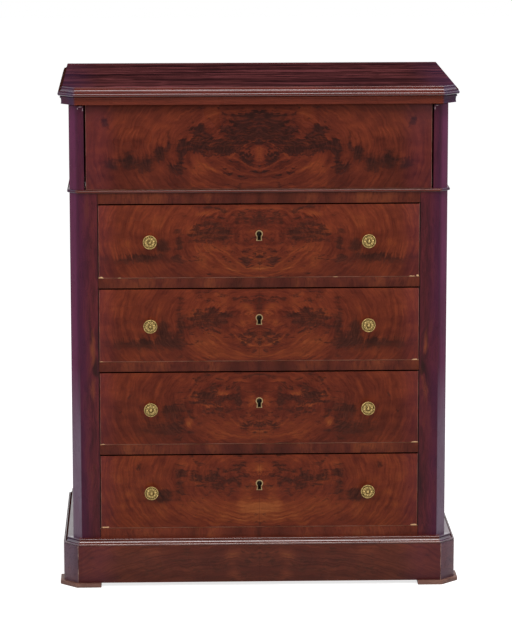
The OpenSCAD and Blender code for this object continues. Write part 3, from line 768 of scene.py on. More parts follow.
@dataclass(frozen=True)
class VeinedMarble(Finish):
    """White marble slab, honed: soft grey clouds, thin dark veins and a satin face."""

    def build(self) -> Material:
        """Makes the material."""
        r = self.recipe()
        at = r.bent(r.place, 160.0, 55.0, 3.0)
        cloud = r.noise(at, (220, 120, 120), 4.0, 0.6)
        vein = r.add("Math.SUBTRACT", r.noise(at, (150, 90, 90), 3.0, 0.6), 0.5)
        vein = r.add("MapRange", r.add("Math.ABSOLUTE", vein), 0.0, 0.02, 0.45, 0.0)
        stone = r.add("ValToRGB", cloud, stops=((0.3, "#B9B7B2"), (0.5, "#DAD7D0"), (0.7, "#E8E5DF")))
        colour = r.add("Mix.RGBA", vein, stone, Mark.MARBLE_VEIN)
        return r.finish(r.add("BsdfPrincipled", colour, 0.0, 0.38, 1.55))


# Rails: plain mahogany veneer, cut across the rail so that it looks mottled. Each patch of its figure
# is taller than the chest, so that all the rails share it.
TALL = 4000.0
RAIL_VENEER = Wood(
    "mottled_mahogany_veneer", ("#3A1610", "#4B2018", "#5A281B", "#663120"),
    (34, 34, 70), (5, 5, 26), 16.0, contrast=0.3, polish=Polish(0.3, 0.07),
    figure=tuple(Patch(x, 500, rx, TALL, depth) for x, rx, depth in (
        (52, 34, 0.45), (0, 12, 0.5), (150, 16, 0.35), (110, 22, -0.3), (250, 60, -0.25))))
# Bottom rail: the same veneer with lighter tones, painted light that brightens it where it sits low.
LIT_BOTTOM_RAIL_VENEER = replace(
    RAIL_VENEER, name="mottled_mahogany_veneer_painted_lighter", tones=("#45190F", "#552419", "#642C1D", "#713623"))
# Plinth boards, round the corners and along the sides: clouded veneer, nicked by shoes and brooms. A pale
# lilac painted reflection lies on their canted corners.
BASE_VENEER = Wood(
    "clouded_mahogany_veneer", ("#351712", "#452019", "#542A1F", "#693420"),
    (110, 60, 44), (22, 12, 4), 34.0, (0, 12, 0), contrast=0.3, spread=0.16, polish=Polish(0.28, 0.09),
    painted_tints=(PaintedTint(PaintedLight.FLOOR_REFLECTION, 405.0, 407.0, 0.52),), pale_arrises=((Axis.X, 405.6),), nicks=0.81)
SIDE_VENEER = Wood(
    "sliced_mahogany_veneer", ("#47201B", "#5A2A20", "#693324", "#763B28"),
    (60, 42, 420), (6, 3.5, 110), 22.0, polish=Polish(0.3, 0.1))
# Stiles and posts: solid mahogany under an old film. Painted over it are a near-black painted shade along
# the inner edge by the gaps, plum and violet painted reflections towards the corners, and a pale lilac
# painted reflection of the floor on the lower cants.
STILE_WOOD = Wood(
    "violet_brown_mahogany", ("#2B0F13", "#3F161B", "#501D22", "#622626"),
    (17, 17, 150), (2.2, 2.2, 70), 16.0, contrast=0.3, spread=0.17, polish=Polish(0.3, 0.1),
    painted_tints=(PaintedTint(PaintedLight.STILE_EDGE_SHADE, 357.2, 355.8, 0.85), PaintedTint(PaintedLight.PLUM, 366.0, 397.0, 0.7),
            PaintedTint(PaintedLight.VIOLET, 398.0, 406.0, 0.75), PaintedTint(PaintedLight.FLOOR_REFLECTION, 396.5, 398.5, 0.95, (500.0, 320.0))),
    figure=(Patch(361, 494, 7, 20, 0.9), Patch(375, 575, 5, 62, 0.5, 4), Patch(366, 655, 4, 50, 0.35),
            Patch(382, 440, 5, 48, 0.45, -4), Patch(370, 540, 8, 34, -0.5), Patch(371, 442, 7, 30, -0.4),
            Patch(372, 790, 5, 70, 0.3), Patch(368, 250, 5, 80, 0.3)),
    chips=((-386, 1071, 0.9, 4), (-391, 1076.5, 5, 0.9), (-397, 1073, 0.8, 3), (386, 1071, 0.9, 4),
           (391, 1076.5, 4, 0.8)))
# Edges of the fronts, in the gaps: painted near-black, a painted shade for the shadow in the gaps.
SHADED_GAP_FACES = Wood(
    "gap_faces_painted_shade", ("#120806", "#1C0D0A", "#26120D"), (20, 20, 20), (4, 4, 4), polish=Polish(0.8, 0.02))
# Mouldings: solid mahogany with a full film, so that each arris holds a bright line. Their cants carry an
# indigo painted reflection.
MOULD_WOOD = Wood(
    "moulded_mahogany", ("#35160F", "#471F18", "#552A1F"),
    (160, 9, 9), (50, 1.6, 1.6), 4.0, contrast=0.4, polish=Polish(0.24, 0.2, 0.18),
    painted_tints=(PaintedTint(PaintedLight.INDIGO, 400.0, 407.0, 0.85),))
# Nosing of the lid: the same film, rubbed by hands.
NOSING_WOOD = replace(
    MOULD_WOOD, name="handled_moulded_mahogany", tones=("#3A1410", "#4D1D18", "#5D2922"),
    polish=Polish(0.19, 0.36, 0.5))
# Upright faces of the nosing, where hands have left the film dark and satin.
NOSE_WOOD = replace(
    MOULD_WOOD, name="darkened_moulded_mahogany", tones=("#40170F", "#541F18", "#642A21"),
    polish=Polish(0.3, 0.1))
# Moulding of the plinth: a full glossy film, with a pale line along its lowest arris that is wear and a
# painted highlight.
GLOSS_WOOD = replace(
    MOULD_WOOD, name="worn_highlit_moulded_mahogany", tones=("#40190F", "#552318", "#65301F"),
    polish=Polish(0.2, 0.6, 1.0), pale_arrises=((Axis.Z, 96.2),))
# Mouldings where they face the room flat, under a satin film.
FLAT_WOOD = replace(
    MOULD_WOOD, name="satin_moulded_mahogany", tones=("#451A0F", "#5A2519", "#682E1E"),
    polish=Polish(0.3, 0.1))
# Mouldings where they run back along the sides: their level steps shine under a glossy film, and their lilac
# colour is a painted reflection of the pale floor and backdrop; the rest is dull.
STEP_WOOD = Wood(
    "shining_side_moulding_painted_reflection", ("#43303C", "#573F4F", "#6A4E60"),
    (9, 160, 9), (1.6, 50, 1.6), 4.0, contrast=0.4, polish=Polish(0.28, 0.5, 0.35))
DULL_WOOD = replace(
    STEP_WOOD, name="dull_moulded_mahogany", tones=("#24100E", "#361A16", "#44221C"),
    polish=Polish(0.6, 0.0))
# Top: solid boards whose film has worn matt, with long dark and rosy streaks, and an indigo painted
# reflection towards the ends.
TOP_WOOD = Wood(
    "worn_top_mahogany", ("#1F0E11", "#311718", "#422021", "#582D2F"),
    (560, 46, 60), (340, 15, 8), 14.0, contrast=0.5, spread=0.1,
    painted_tints=(PaintedTint(PaintedLight.INDIGO, 340.0, 432.0, 0.4, behind=900.0),), polish=Polish(0.62, 0.0, ripple=0.16))
# Underside of the lid board: planed and never polished.
PLANED_WOOD = Wood(
    "planed_mahogany", ("#55291C", "#6A3524", "#7B4230"),
    (520, 60, 60), (160, 4, 4), 12.0, contrast=0.4, polish=Polish(0.6, 0.15, ripple=0.0))
# Foot pads: mahogany scuffed down to bare, dusty wood.
FOOT_WOOD = Wood(
    "scuffed_mahogany", ("#4A2A22", "#644238", "#7A584C"),
    (60, 9, 9), (20, 2, 2), 4.0, polish=Polish(0.5, 0.3))
# Inside: planed pine, never finished, gone honey-brown with age. Its grain runs along each board.
PINE_X = Wood(
    "aged_pine_crossways", ("#8A5E36", "#A97C4C", "#BE9260", "#CDA574"),
    (480, 14, 14), (90, 1.8, 1.8), 12.0, polish=Polish(0.7, 0.2, ripple=0.0))
PINE_Y = replace(PINE_X, name="aged_pine_lengthways", bands=(14, 480, 14), fibres=(1.8, 90, 1.8))
PINE_Z = replace(PINE_X, name="aged_pine_upright", bands=(14, 14, 480), fibres=(1.8, 1.8, 90))
KNOB_BRASS = AgedBrass("handled_brass", "#AE9560", "#4A3A1C", stain=0.45)
PLATE_BRASS = AgedBrass("dull_sheet_brass", "#98805C", "#5A4630", 0.42, 0.4)
HINGE_BRASS = AgedBrass("tarnished_brass", "#9A8450", "#4A3A20", 0.42, 0.6)
IRON = ForgedIron("filed_iron")
MARBLE = VeinedMarble("veined_marble")


def near(value: float, *targets: float) -> bool:
    """Says whether a length in metres is one of the targets."""
    return any(abs(value - target) < SAME * MM for target in targets)


def in_plane(y: float) -> Test:
    """Test for edges that lie in the upright plane at the given Y, in metres."""
    return lambda a, b: near(a.y, y) and near(b.y, y)


def moulded(face: Face) -> int:
    """Finish of a moulding's face.

    Args:
        face: the face.

    Returns:
        0 where it is polished, 1 where it is upright, 2 on the sides and 3 on a level step there.
    """
    if abs(face.calc_center_median().x) > SIDE_X and abs(face.normal.y) < ASIDE:
        return 3 if face.normal.z > SQUARE else 2
    return 1 if abs(face.normal.z) < ASIDE else 0


def veneered(face: Face) -> int:
    """Finish of a front's face.

    Args:
        face: the face.

    Returns:
        0 for the veneer, 1 for the back and 2 for an edge in a gap, painted near-black as shade.
    """
    if face.normal.y < ROOMWARDS:
        return 0
    return 1 if face.normal.y > TOWARDS else 2


class Assembly:
    """Pieces that ride on one CAD body: copies of CAD nodes, eased and finished, and new ones."""

    body: str

    @staticmethod
    def ease(bm: Shape, width: float, test: Test, segments: int) -> None:
        """Rounds crisp outward edges as glasspaper does.

        Args:
            bm: the piece.
            width: width of the rounding.
            test: says whether the edge between two corners is to be rounded.
            segments: faces across the rounding. One makes a flat.
        """
        bm.normal_update()
        edges = [
            e for e in bm.edges
            if e.is_manifold and e.is_convex and e.calc_face_angle(0.0) > SHARP
            and test(e.verts[0].co, e.verts[1].co)
        ]
        bmesh.ops.bevel(
            bm, geom=edges, offset=width * MM, offset_type="OFFSET", affect="EDGES",
            segments=segments, profile=0.5, material=-1, clamp_overlap=True)

    def copy(
        self,
        node: str,
        slot: Slot,
        finishes: Sequence[Finish],
        pick: Pick | None = None,
        width: float = 0.0,
        test: Test = lambda a, b: True,
        segments: int = 2,
        name: str = "",
    ) -> None:
        """Puts an eased and finished copy of a CAD node in its place.

        Args:
            node: name of the CAD node.
            slot: material slot of the piece.
            finishes: finishes of the piece.
            pick: gives the number of a face's finish.
            width: width of the rounding along its crisp edges, or 0 for none.
            test: says whether the edge between two corners is to be rounded.
            segments: faces across the rounding.
            name: name of the piece, where it isn't the node's after dressed_.
        """
        bm = bmesh.new()
        bm.from_mesh(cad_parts[node].data)
        bmesh.ops.remove_doubles(bm, verts=bm.verts, dist=WELD * MM)
        bmesh.ops.dissolve_limit(bm, angle_limit=LEVEL, verts=bm.verts, edges=bm.edges)
        if width:
            self.ease(bm, width, test, segments)
        self.place(bm, name or f"dressed_{node}", node, slot, finishes, pick)

    def place(
        self,
        bm: Shape,
        name: str,
        node: str,
        slot: Slot,
        finishes: Sequence[Finish],
        pick: Pick | None = None,
    ) -> None:
        """Makes a piece of a bmesh and puts it on the body.

        Args:
            bm: the piece, in the row frame. It is freed.
            name: name of the piece.
            node: CAD node that it replaces.
            slot: material slot of the piece. Not used.
            finishes: finishes of the piece.
            pick: gives the number of a face's finish.
        """
        bm.normal_update()
        for face in bm.faces:
            face.smooth = True
            if pick:
                face.material_index = pick(face)
        for edge in bm.edges:
            edge.smooth = edge.is_manifold and edge.calc_face_angle(0.0) < SHARP
        mesh = bpy.data.meshes.new(name)
        bm.to_mesh(mesh)
        bm.free()
        for attribute in [a for a in mesh.attributes if a.name == "custom_normal"]:
            mesh.attributes.remove(attribute)
        for finish in finishes:
            mesh.materials.append(finish.material())
        piece = bpy.data.objects.new(name, mesh)
        bpy.context.scene.collection.objects.link(piece)
        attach(piece, self.body)
        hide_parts(node)
        log.info("%s: %d faces, on %s", name, len(mesh.polygons), self.body)

    @staticmethod
    def dress(finish: Finish, *nodes: str) -> None:
        """Gives CAD nodes that stay in view their finish.

        Args:
            finish: the finish.
            nodes: names of the nodes.
        """
        for node in nodes:
            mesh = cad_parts[node].data
            mesh.materials.clear()
            mesh.materials.append(finish.material())
            log.info("%s: CAD mesh in %s", node, finish.name)


@dataclass
class Carcase(Assembly):
    """The case: sides, stiles, posts, rails, base and all that is fixed inside.

    Attributes:
        body: its CAD body.
        edge: rounding of its long edges.
        rail_edge: rounding of the rails' edges.
        plinth_edge: rounding of the plinth boards' edges.
        pad_edge: rounding of the foot pads' edges.
        slab_edge: rounding of the marble's edges.
        cloud: veneer on the front of the plinth.
    """

    body: str = "case"
    edge: float = 0.9
    rail_edge: float = 0.6
    plinth_edge: float = 0.8
    pad_edge: float = 1.4
    slab_edge: float = 1.5
    cloud: FlameVeneer = FlameVeneer(
        "clouded_mahogany_front", "plinth_boards",
        (Patch(62, 16, 15, 13, -0.9), Patch(58, -18, 12, 12, -0.5), Patch(26, -4, 22, 34, 0.5),
         Patch(108, -6, 34, 28, 0.42), Patch(176, 6, 40, 24, 0.34), Patch(250, -14, 40, 16, 0.25),
         Patch(330, 0, 60, 40, -0.3), Patch(215, 26, 26, 10, -0.3)),
        heart=-420.0, seed=61.0, warm=0.42, gain=0.7, mottled=380.0,
        shades=("#3B1D15", "#432219", "#4B271C"),
        tones=("#421E17", "#4C231A", "#56291D", "#613020", "#744026"), film=Polish(0.28, 0.09))

    def build(self) -> None:
        """Builds every piece of the case."""
        for node in ("corner_stiles", "cheek_posts"):
            self.copy(node, Slot.SOLID, [STILE_WOOD], width=self.edge, test=self.upright)
        for node, veneer in (
            ("top_rail", RAIL_VENEER), ("divider_rails", RAIL_VENEER), ("bottom_rail", LIT_BOTTOM_RAIL_VENEER)
        ):
            self.copy(node, Slot.VENEER, [veneer, PINE_X], lambda face: int(face.normal.y >= ROOMWARDS),
                      self.rail_edge, in_plane(FRONT_Y))
        self.copy("plinth_boards", Slot.VENEER, [BASE_VENEER, self.cloud, DULL_WOOD], self.board_finish,
                  self.plinth_edge)
        self.copy("foot_pads", Slot.SOLID, [FOOT_WOOD], width=self.pad_edge)
        self.copy("side_panels", Slot.VENEER, [SIDE_VENEER, PINE_Z], self.side_finish, self.edge, self.outer)
        for node, wood in (("bead_moulding", MOULD_WOOD), ("plinth_moulding", GLOSS_WOOD)):
            self.copy(node, Slot.SOLID, [wood, FLAT_WOOD, DULL_WOOD, STEP_WOOD], moulded)
        self.copy("marble_slab", Slot.MARBLE, [MARBLE], width=self.slab_edge)
        self.dress(PINE_X, "drawer_stops", "bottom_board", "deck_board", "hinge_rail")
        self.dress(PINE_Y, "drawer_runners", "drawer_guides")
        self.dress(PINE_Z, "back_boards")
        self.dress(HINGE_BRASS, "hinge_case_leaves", "hinge_pins", "hinge_case_screws")

    @staticmethod
    def upright(a: Vector, b: Vector) -> bool:
        """Says whether an edge is a long upright one on the front or on a cant."""
        ahead = a.y < FRONT_Y + (CANT + SAME) * MM
        return ahead and near(a.x, b.x) and near(a.y, b.y) and abs(a.z - b.z) > LONG * MM

    @staticmethod
    def outer(a: Vector, b: Vector) -> bool:
        """Says whether an edge lies on the outer face of a side panel, away from the stiles."""
        return near(abs(a.x), SIDE_X) and near(abs(b.x), SIDE_X) and min(a.y, b.y) > FRONT_Y + JOINT * MM

    @staticmethod
    def side_finish(face: Face) -> int:
        """Finish of a side panel's face: 0 is veneer, on the outside, and 1 pine."""
        outside = abs(face.normal.x) > ASIDE and abs(face.calc_center_median().x) > SIDE_X - SKIN * MM
        return int(not outside)

    @staticmethod
    def board_finish(face: Face) -> int:
        """Finish of a plinth board's face.

        Args:
            face: the face.

        Returns:
            0 for plain veneer, 1 for the clouded front and 2 for the dull top of a side.
        """
        if face.normal.y < -SQUARE:
            return 1
        return 2 if face.normal.z > TOWARDS and abs(face.calc_center_median().x) > SIDE_X else 0


@dataclass
class Lid(Assembly):
    """The lid with its moulded edge, the frame under it and the frieze panel that hangs from it.

    Attributes:
        body: its CAD body.
        frieze_edge: rounding of the frieze panel's edges.
        rear_edge: rounding of the board's rear edges.
        top_edge: width of the flat along the top of the moulding.
        top_skin: faces of the moulding within this of its top are on top.
        flame: veneer of the frieze panel.
    """

    body: str = "lid"
    frieze_edge: float = 0.8
    rear_edge: float = 0.6
    top_edge: float = 1.6
    top_skin: float = 0.2
    flame: FlameVeneer = FlameVeneer(
        "flame_mahogany_frieze", "frieze_panel",
        (Patch(0, 58, 54, 16, 1.0), Patch(0, 28, 58, 20, 1.0), Patch(129, 34, 22, 12, 0.8),
         Patch(75, 38, 16, 10, 0.5), Patch(112, 2, 58, 13, 1.0), Patch(66, -2, 24, 11, 0.6),
         Patch(170, -16, 8, 30, 0.5), Patch(184, -50, 20, 10, 0.5), Patch(218, -14, 12, 19, 0.62),
         Patch(252, -40, 18, 18, 0.42), Patch(286, -34, 14, 21, 0.42), Patch(322, -38, 20, 15, 0.4),
         Patch(27, -25, 13, 9, 0.9), Patch(336, 56, 6, 14, 0.42, 30), Patch(199, 10, 5, 26, 0.4),
         Patch(0, -16, 9, 13, -0.6), Patch(104, 62, 16, 26, -0.5), Patch(205, 42, 36, 46, -0.3),
         Patch(122, -52, 38, 24, -0.5), Patch(290, 40, 50, 26, -0.2), Patch(0, -84, 150, 8, -0.3)),
        (Arc(-22, 44, 22, 0.4, 0.14, point=0.8), Arc(-22, 60, 31, -0.5, 0.1, point=0.8),
         Arc(-22, 80, 39, 0.7, 0.11, point=0.8), Arc(-22, 102, 47, -0.5, 0.07, point=0.7),
         Arc(-22, 122, 56, 0.6, 0.08, point=0.6), Arc(-22, 142, 63, -0.45, 0.06, point=0.5),
         Arc(-22, 34, 20, -0.4, 0.12, False, 0.8), Arc(-22, 50, 29, 0.7, 0.12, False, 0.8),
         Arc(-22, 68, 38, -0.6, 0.09, False, 0.8), Arc(-22, 88, 47, 0.8, 0.09, False, 0.7),
         Arc(-22, 106, 56, -0.55, 0.06, False, 0.6)),
        heart=-8.0, seed=3.0, warm=0.28, gain=1.7, shades=("#1B0C09", "#28120E", "#3A1A14"))

    def build(self) -> None:
        """Builds every piece of the lid."""
        self.copy("frieze_panel", Slot.VENEER, [self.flame, PINE_X, SHADED_GAP_FACES], veneered,
                  self.frieze_edge, in_plane(FRONT_Y))
        self.copy("lid_board", Slot.SOLID, [TOP_WOOD, PLANED_WOOD],
                  lambda face: int(face.normal.z < -TOWARDS), self.rear_edge,
                  in_plane(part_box("lid_board")[1].y))
        self.copy("lid_moulding", Slot.SOLID, [NOSING_WOOD, FLAT_WOOD, DULL_WOOD, TOP_WOOD, NOSE_WOOD],
                  self.moulding_finish, self.top_edge, self.outer_top, segments=1)
        self.dress(PINE_X, "lid_frame", "frieze_blocks")
        self.dress(HINGE_BRASS, "hinge_lid_leaves", "hinge_lid_screws")

    @staticmethod
    def outer_top(a: Vector, b: Vector) -> bool:
        """Says whether an edge is on top of the moulding, away from the board."""
        top, (low, high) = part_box("lid_moulding")[1].z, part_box("lid_board")
        return all(near(v.z, top) and (abs(v.x) > high.x + MM or v.y < low.y - MM) for v in (a, b))

    def moulding_finish(self, face: Face) -> int:
        """Finish of a face of the lid's moulding.

        Args:
            face: the face.

        Returns:
            0 for the nosing, 1 under it, 2 on the sides, 3 on top and 4 where the nosing is upright.
        """
        height = face.calc_center_median().z
        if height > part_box("lid_moulding")[1].z - self.top_skin * MM:
            return 3
        if moulded(face) > 1:
            return 2
        return 1 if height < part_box("lid_board")[0].z else 4 * moulded(face)


@dataclass
class Knob:
    """Cast and chased brass knob: a turned stem and cup, petals, a beaded rim and a boss.

    Attributes:
        segments: sides of the turned form.
        section: radius and height of each corner of the turned form.
        petals: number of petals.
        petal_at: distance of a petal from the axis, and its height.
        petal_size: its half length, half width and half height.
        beads: rings of beads, each as their number, the ring's radius, its height and a bead's radius.
        shank_r: radius of the shank.
        shank_past: how far the shank comes out behind the drawer front.
        nut_r: half width of the nut, over its corners.
        nut_h: thickness of the nut.
    """

    segments: int = 64
    section: tuple[tuple[float, float], ...] = (
        (0, 0), (9, 0), (9, 1.2), (8.2, 2), (6.2, 2.5), (5, 3.6), (4.6, 6), (4.7, 10), (5.4, 12.6),
        (8.4, 15.2), (12.2, 17.4), (14.4, 19.6), (15.3, 21.4), (15.5, 22.4), (15.2, 23.3), (14.5, 23.6),
        (13.3, 23.2), (12.7, 22.4), (11.2, 22.2), (7, 23), (5.2, 23.4), (5, 24.8), (4.6, 25.2),
        (4.1, 24.8), (3.9, 25.6), (3.4, 27.4), (2.2, 28.6), (0, 29))
    petals: int = 8
    petal_at: tuple[float, float] = (8.4, 22.9)
    petal_size: Triple = (3.1, 2.1, 1.7)
    beads: tuple[tuple[int, float, float, float], ...] = ((36, 14.2, 23.5, 1.1), (24, 11.9, 22.5, 1.0))
    shank_r: float = 3.0
    shank_past: float = 7.0
    nut_r: float = 7.0
    nut_h: float = 5.0

    def lathe(self, bm: Shape) -> None:
        """Turns the section round the knob's axis, which is Z here.

        Args:
            bm: the knob.
        """
        verts = [bm.verts.new((x * MM, 0, z * MM)) for x, z in self.section]
        edges = [bm.edges.new(pair) for pair in zip(verts, verts[1:])]
        bmesh.ops.spin(
            bm, geom=[*verts, *edges], cent=(0, 0, 0), axis=(0, 0, 1), dvec=(0, 0, 0),
            angle=math.tau, steps=self.segments, use_merge=True, use_duplicate=False)
        bmesh.ops.remove_doubles(bm, verts=bm.verts, dist=WELD * MM)

    def chase(self, bm: Shape) -> None:
        """Adds the petals, the beads on the rim and the smaller ones inside it.

        Args:
            bm: the knob.
        """
        away, height = self.petal_at
        shape = Matrix.Translation((away * MM, 0, height * MM)) @ Matrix.Diagonal(
            (*(size * MM for size in self.petal_size), 1))
        for i in range(self.petals):
            petal = Matrix.Rotation(math.tau * i / self.petals, 4, "Z") @ shape
            bmesh.ops.create_uvsphere(bm, u_segments=16, v_segments=10, radius=1, matrix=petal)
        for count, radius, height, size in self.beads:
            for i in range(count):
                turn = Matrix.Rotation(math.tau * i / count, 4, "Z")
                bead = turn @ Matrix.Translation((radius * MM, 0, height * MM))
                bmesh.ops.create_icosphere(bm, subdivisions=1, radius=size * MM, matrix=bead)

    def fasten(self, bm: Shape, front_t: float) -> None:
        """Adds the threaded shank and its nut behind the drawer front.

        Args:
            bm: the knob.
            front_t: thickness of the drawer front.
        """
        for radius, length, start, sides in (
            (self.shank_r, front_t + self.shank_past, 0.0, 24), (self.nut_r, self.nut_h, -front_t, 6)
        ):
            middle = Matrix.Translation((0, 0, (start - length / 2) * MM))
            bmesh.ops.create_cone(
                bm, cap_ends=True, cap_tris=False, segments=sides, radius1=radius * MM,
                radius2=radius * MM, depth=length * MM, matrix=middle)

    def add_to(self, bm: Shape, x: float, z: float, turn: float, front_t: float) -> None:
        """Adds a whole knob to a mesh, standing out of the drawer front.

        Args:
            bm: mesh that takes the knob.
            x: place across the front, in metres.
            z: height, in metres.
            turn: turn of the petals, in degrees.
            front_t: thickness of the drawer front.
        """
        own = bmesh.new()
        self.lathe(own)
        self.chase(own)
        self.fasten(own, front_t)
        bmesh.ops.recalc_face_normals(own, faces=own.faces)
        bmesh.ops.transform(
            own, verts=own.verts, matrix=Matrix.Translation((x, FRONT_Y, z))
            @ Matrix.Rotation(math.radians(90), 4, "X") @ Matrix.Rotation(math.radians(turn), 4, "Z"))
        scratch = bpy.data.meshes.new("knob_scratch")
        own.to_mesh(scratch)
        own.free()
        bm.from_mesh(scratch)
        bpy.data.meshes.remove(scratch)


@dataclass
class Drawer(Assembly):
    """One drawer: its front, box, knobs, keyhole plate and lock.

    Attributes:
        number: 1 at the top to 4 at the bottom.
        flame: veneer of its front.
        turns: turn of the left and of the right knob, in degrees.
        knob: the knob's form.
        front_edge: rounding of the front's edges.
        plate_edge: rounding of the keyhole plate's edges.
        plate_r: radius of the keyhole plate's head.
    """

    number: int
    flame: FlameVeneer
    turns: tuple[float, float]
    knob: Knob = field(default_factory=Knob)
    front_edge: float = 0.9
    plate_edge: float = 0.3
    plate_r: float = 8.2

    def __post_init__(self) -> None:
        """Reads the drawer's place from the CAD."""
        self.body = f"drawer_{self.number}"
        self.low, self.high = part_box(f"{self.body}_front")

    def build(self) -> None:
        """Builds every piece of the drawer."""
        self.copy(f"{self.body}_front", Slot.VENEER, [self.flame, PINE_X, SHADED_GAP_FACES], veneered,
                  self.front_edge, self.rim)
        self.knobs()
        plate = f"{self.body}_escutcheon"
        low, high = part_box(plate)
        brass = replace(PLATE_BRASS, name=f"{PLATE_BRASS.name}_{self.number}",
                        keyhole=Keyhole(high.z / MM - self.plate_r))
        self.copy(plate, Slot.BRASS, [brass], width=self.plate_edge, test=in_plane(low.y),
                  name=f"{self.body}_keyhole_plate")
        self.dress(PINE_X, f"{self.body}_back", f"{self.body}_bottom")
        self.dress(PINE_Y, f"{self.body}_sides")
        self.dress(IRON, f"{self.body}_lock")
        self.dress(HINGE_BRASS, f"{self.body}_bolt")

    def rim(self, a: Vector, b: Vector) -> bool:
        """Says whether an edge is on the rim of the front's face.

        Args:
            a: one corner of the edge.
            b: the other corner.

        Returns:
            True if it is.
        """
        upright = near(a.x, self.low.x, self.high.x) and near(a.x, b.x)
        level = near(a.z, self.low.z, self.high.z) and near(a.z, b.z)
        return in_plane(FRONT_Y)(a, b) and (upright or level)

    def knobs(self) -> None:
        """Builds the pair of knobs, with their shanks and nuts."""
        node = f"{self.body}_knobs"
        low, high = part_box(node)
        away = high.x - (high.z - low.z) / 2
        bm = bmesh.new()
        for side, turn in zip((-1, 1), self.turns):
            self.knob.add_to(bm, side * away, (low.z + high.z) / 2, turn, (self.high.y - FRONT_Y) / MM)
        self.place(bm, f"{self.body}_chased_knobs", node, Slot.BRASS, [KNOB_BRASS])


DRAWERS = (
    Drawer(1, FlameVeneer(
        "flame_mahogany_1", "drawer_1_front",
        (Patch(105, 18, 46, 20, 0.95), Patch(0, 50, 50, 14, 0.8), Patch(30, -36, 26, 15, 0.55),
         Patch(178, -5, 8, 46, 0.6), Patch(213, -11, 14, 17, 0.9), Patch(262, -40, 90, 10, 0.68),
         Patch(105, 50, 24, 8, 0.4), Patch(30, 3, 26, 11, 0.3), Patch(0, 72, 50, 4, -0.5),
         Patch(115, 61, 18, 5, -0.6), Patch(100, -11, 50, 7, -0.4), Patch(300, -8, 30, 20, -0.3),
         Patch(122, -46, 16, 18, -0.4), Patch(225, 50, 50, 22, -0.25), Patch(0, -66, 120, 12, -0.45),
         Patch(66, -44, 20, 18, -0.35)),
        (Arc(-14, 48, 30, -0.35, 0.1), Arc(-14, 62, 40, 0.35, 0.1), Arc(-14, 78, 50, -0.6, 0.07),
         Arc(-14, 93, 60, 0.4, 0.08), Arc(-14, 112, 69, -0.45, 0.06), Arc(2, 48, 26, -0.3, 0.1, False)),
        seed=22.0, warm=0.4,
        chips=((-350, -80.5, 9, 3.2), (-308, -81, 3, 1.2), (170, -81, 6, 1.2), (338, -80.5, 8, 1.6),
               (351, -79, 4, 2.4))), (12.0, 3.0)),
    Drawer(2, FlameVeneer(
        "flame_mahogany_2", "drawer_2_front",
        (Patch(0, 55, 40, 9, 0.8), Patch(0, 36, 7, 15, 0.5), Patch(105, 20, 50, 15, 0.9),
         Patch(125, -1, 40, 17, 0.6), Patch(116, 55, 16, 6, 0.6), Patch(26, -27, 34, 14, 0.5),
         Patch(176, 0, 8, 52, 0.6), Patch(212, -12, 14, 26, 0.8), Patch(265, -43, 90, 12, 0.66),
         Patch(185, -35, 22, 16, 0.6), Patch(27, 36, 14, 11, -0.7), Patch(90, 47, 34, 13, -0.5),
         Patch(38, 4, 20, 11, -0.45), Patch(105, -50, 46, 24, -0.5), Patch(0, -68, 110, 9, -0.4)),
        (Arc(-12, 66, 40, -0.6, 0.08, point=0.6), Arc(-12, 84, 52, 0.35, 0.09),
         Arc(-12, 44, 26, -0.3, 0.1, point=0.6), Arc(-12, 104, 62, -0.4, 0.06)),
        seed=27.0, warm=0.42, chips=((346, -80.5, 8, 2.2), (-350, -81, 5, 1.4))), (20.0, 8.0)),
    Drawer(3, FlameVeneer(
        "flame_mahogany_3", "drawer_3_front",
        (Patch(105, 20, 46, 30, 0.85), Patch(47, 22, 12, 30, 0.8), Patch(0, 72, 40, 7, 0.7),
         Patch(24, -36, 34, 19, 0.4), Patch(180, -20, 26, 50, 0.55), Patch(203, -3, 14, 12, 0.7),
         Patch(225, -44, 54, 19, 0.6), Patch(290, 29, 5, 4, 0.8), Patch(312, -10, 5, 4, 0.7),
         Patch(85, 36, 26, 6, -0.8), Patch(103, 7, 30, 4, -0.6), Patch(20, 15, 9, 34, -0.4),
         Patch(42, 60, 16, 4, -0.5), Patch(158, -32, 9, 11, -0.7), Patch(95, -45, 34, 19, -0.45),
         Patch(0, -64, 110, 13, -0.4), Patch(62, -42, 18, 18, -0.3)),
        (Arc(-10, 52, 34, -0.3, 0.09), Arc(-10, 70, 46, -0.4, 0.07), Arc(-10, 88, 56, 0.3, 0.08)),
        seed=32.0, warm=0.36, gain=0.85,
        chips=((-349, -80.5, 7, 1.4), (347, -80, 10, 2.0))), (2.0, 16.0)),
    Drawer(4, FlameVeneer(
        "flame_mahogany_4", "drawer_4_front",
        (Patch(112, 30, 66, 20, 0.7), Patch(70, 14, 40, 18, 0.5), Patch(45, 45, 14, 28, 0.5),
         Patch(0, 69, 14, 5, 0.8), Patch(178, 20, 10, 48, 0.55), Patch(213, -6, 14, 16, 0.85),
         Patch(236, -16, 48, 16, 0.55), Patch(268, 55, 6, 5, 0.8), Patch(190, -40, 20, 16, 0.35),
         Patch(0, 48, 20, 11, -0.9), Patch(0, -46, 190, 26, -0.6), Patch(300, -20, 50, 40, -0.2),
         Patch(30, -6, 14, 22, -0.35, -30)),
        (Arc(-20, 150, 50, -0.25, 0.08),),
        heart=34.0, seed=37.0, warm=0.46, gain=0.78,
        chips=((-345, -80.5, 9, 1.8), (346, -80.5, 9, 2.2))), (10.0, 0.0)),
)


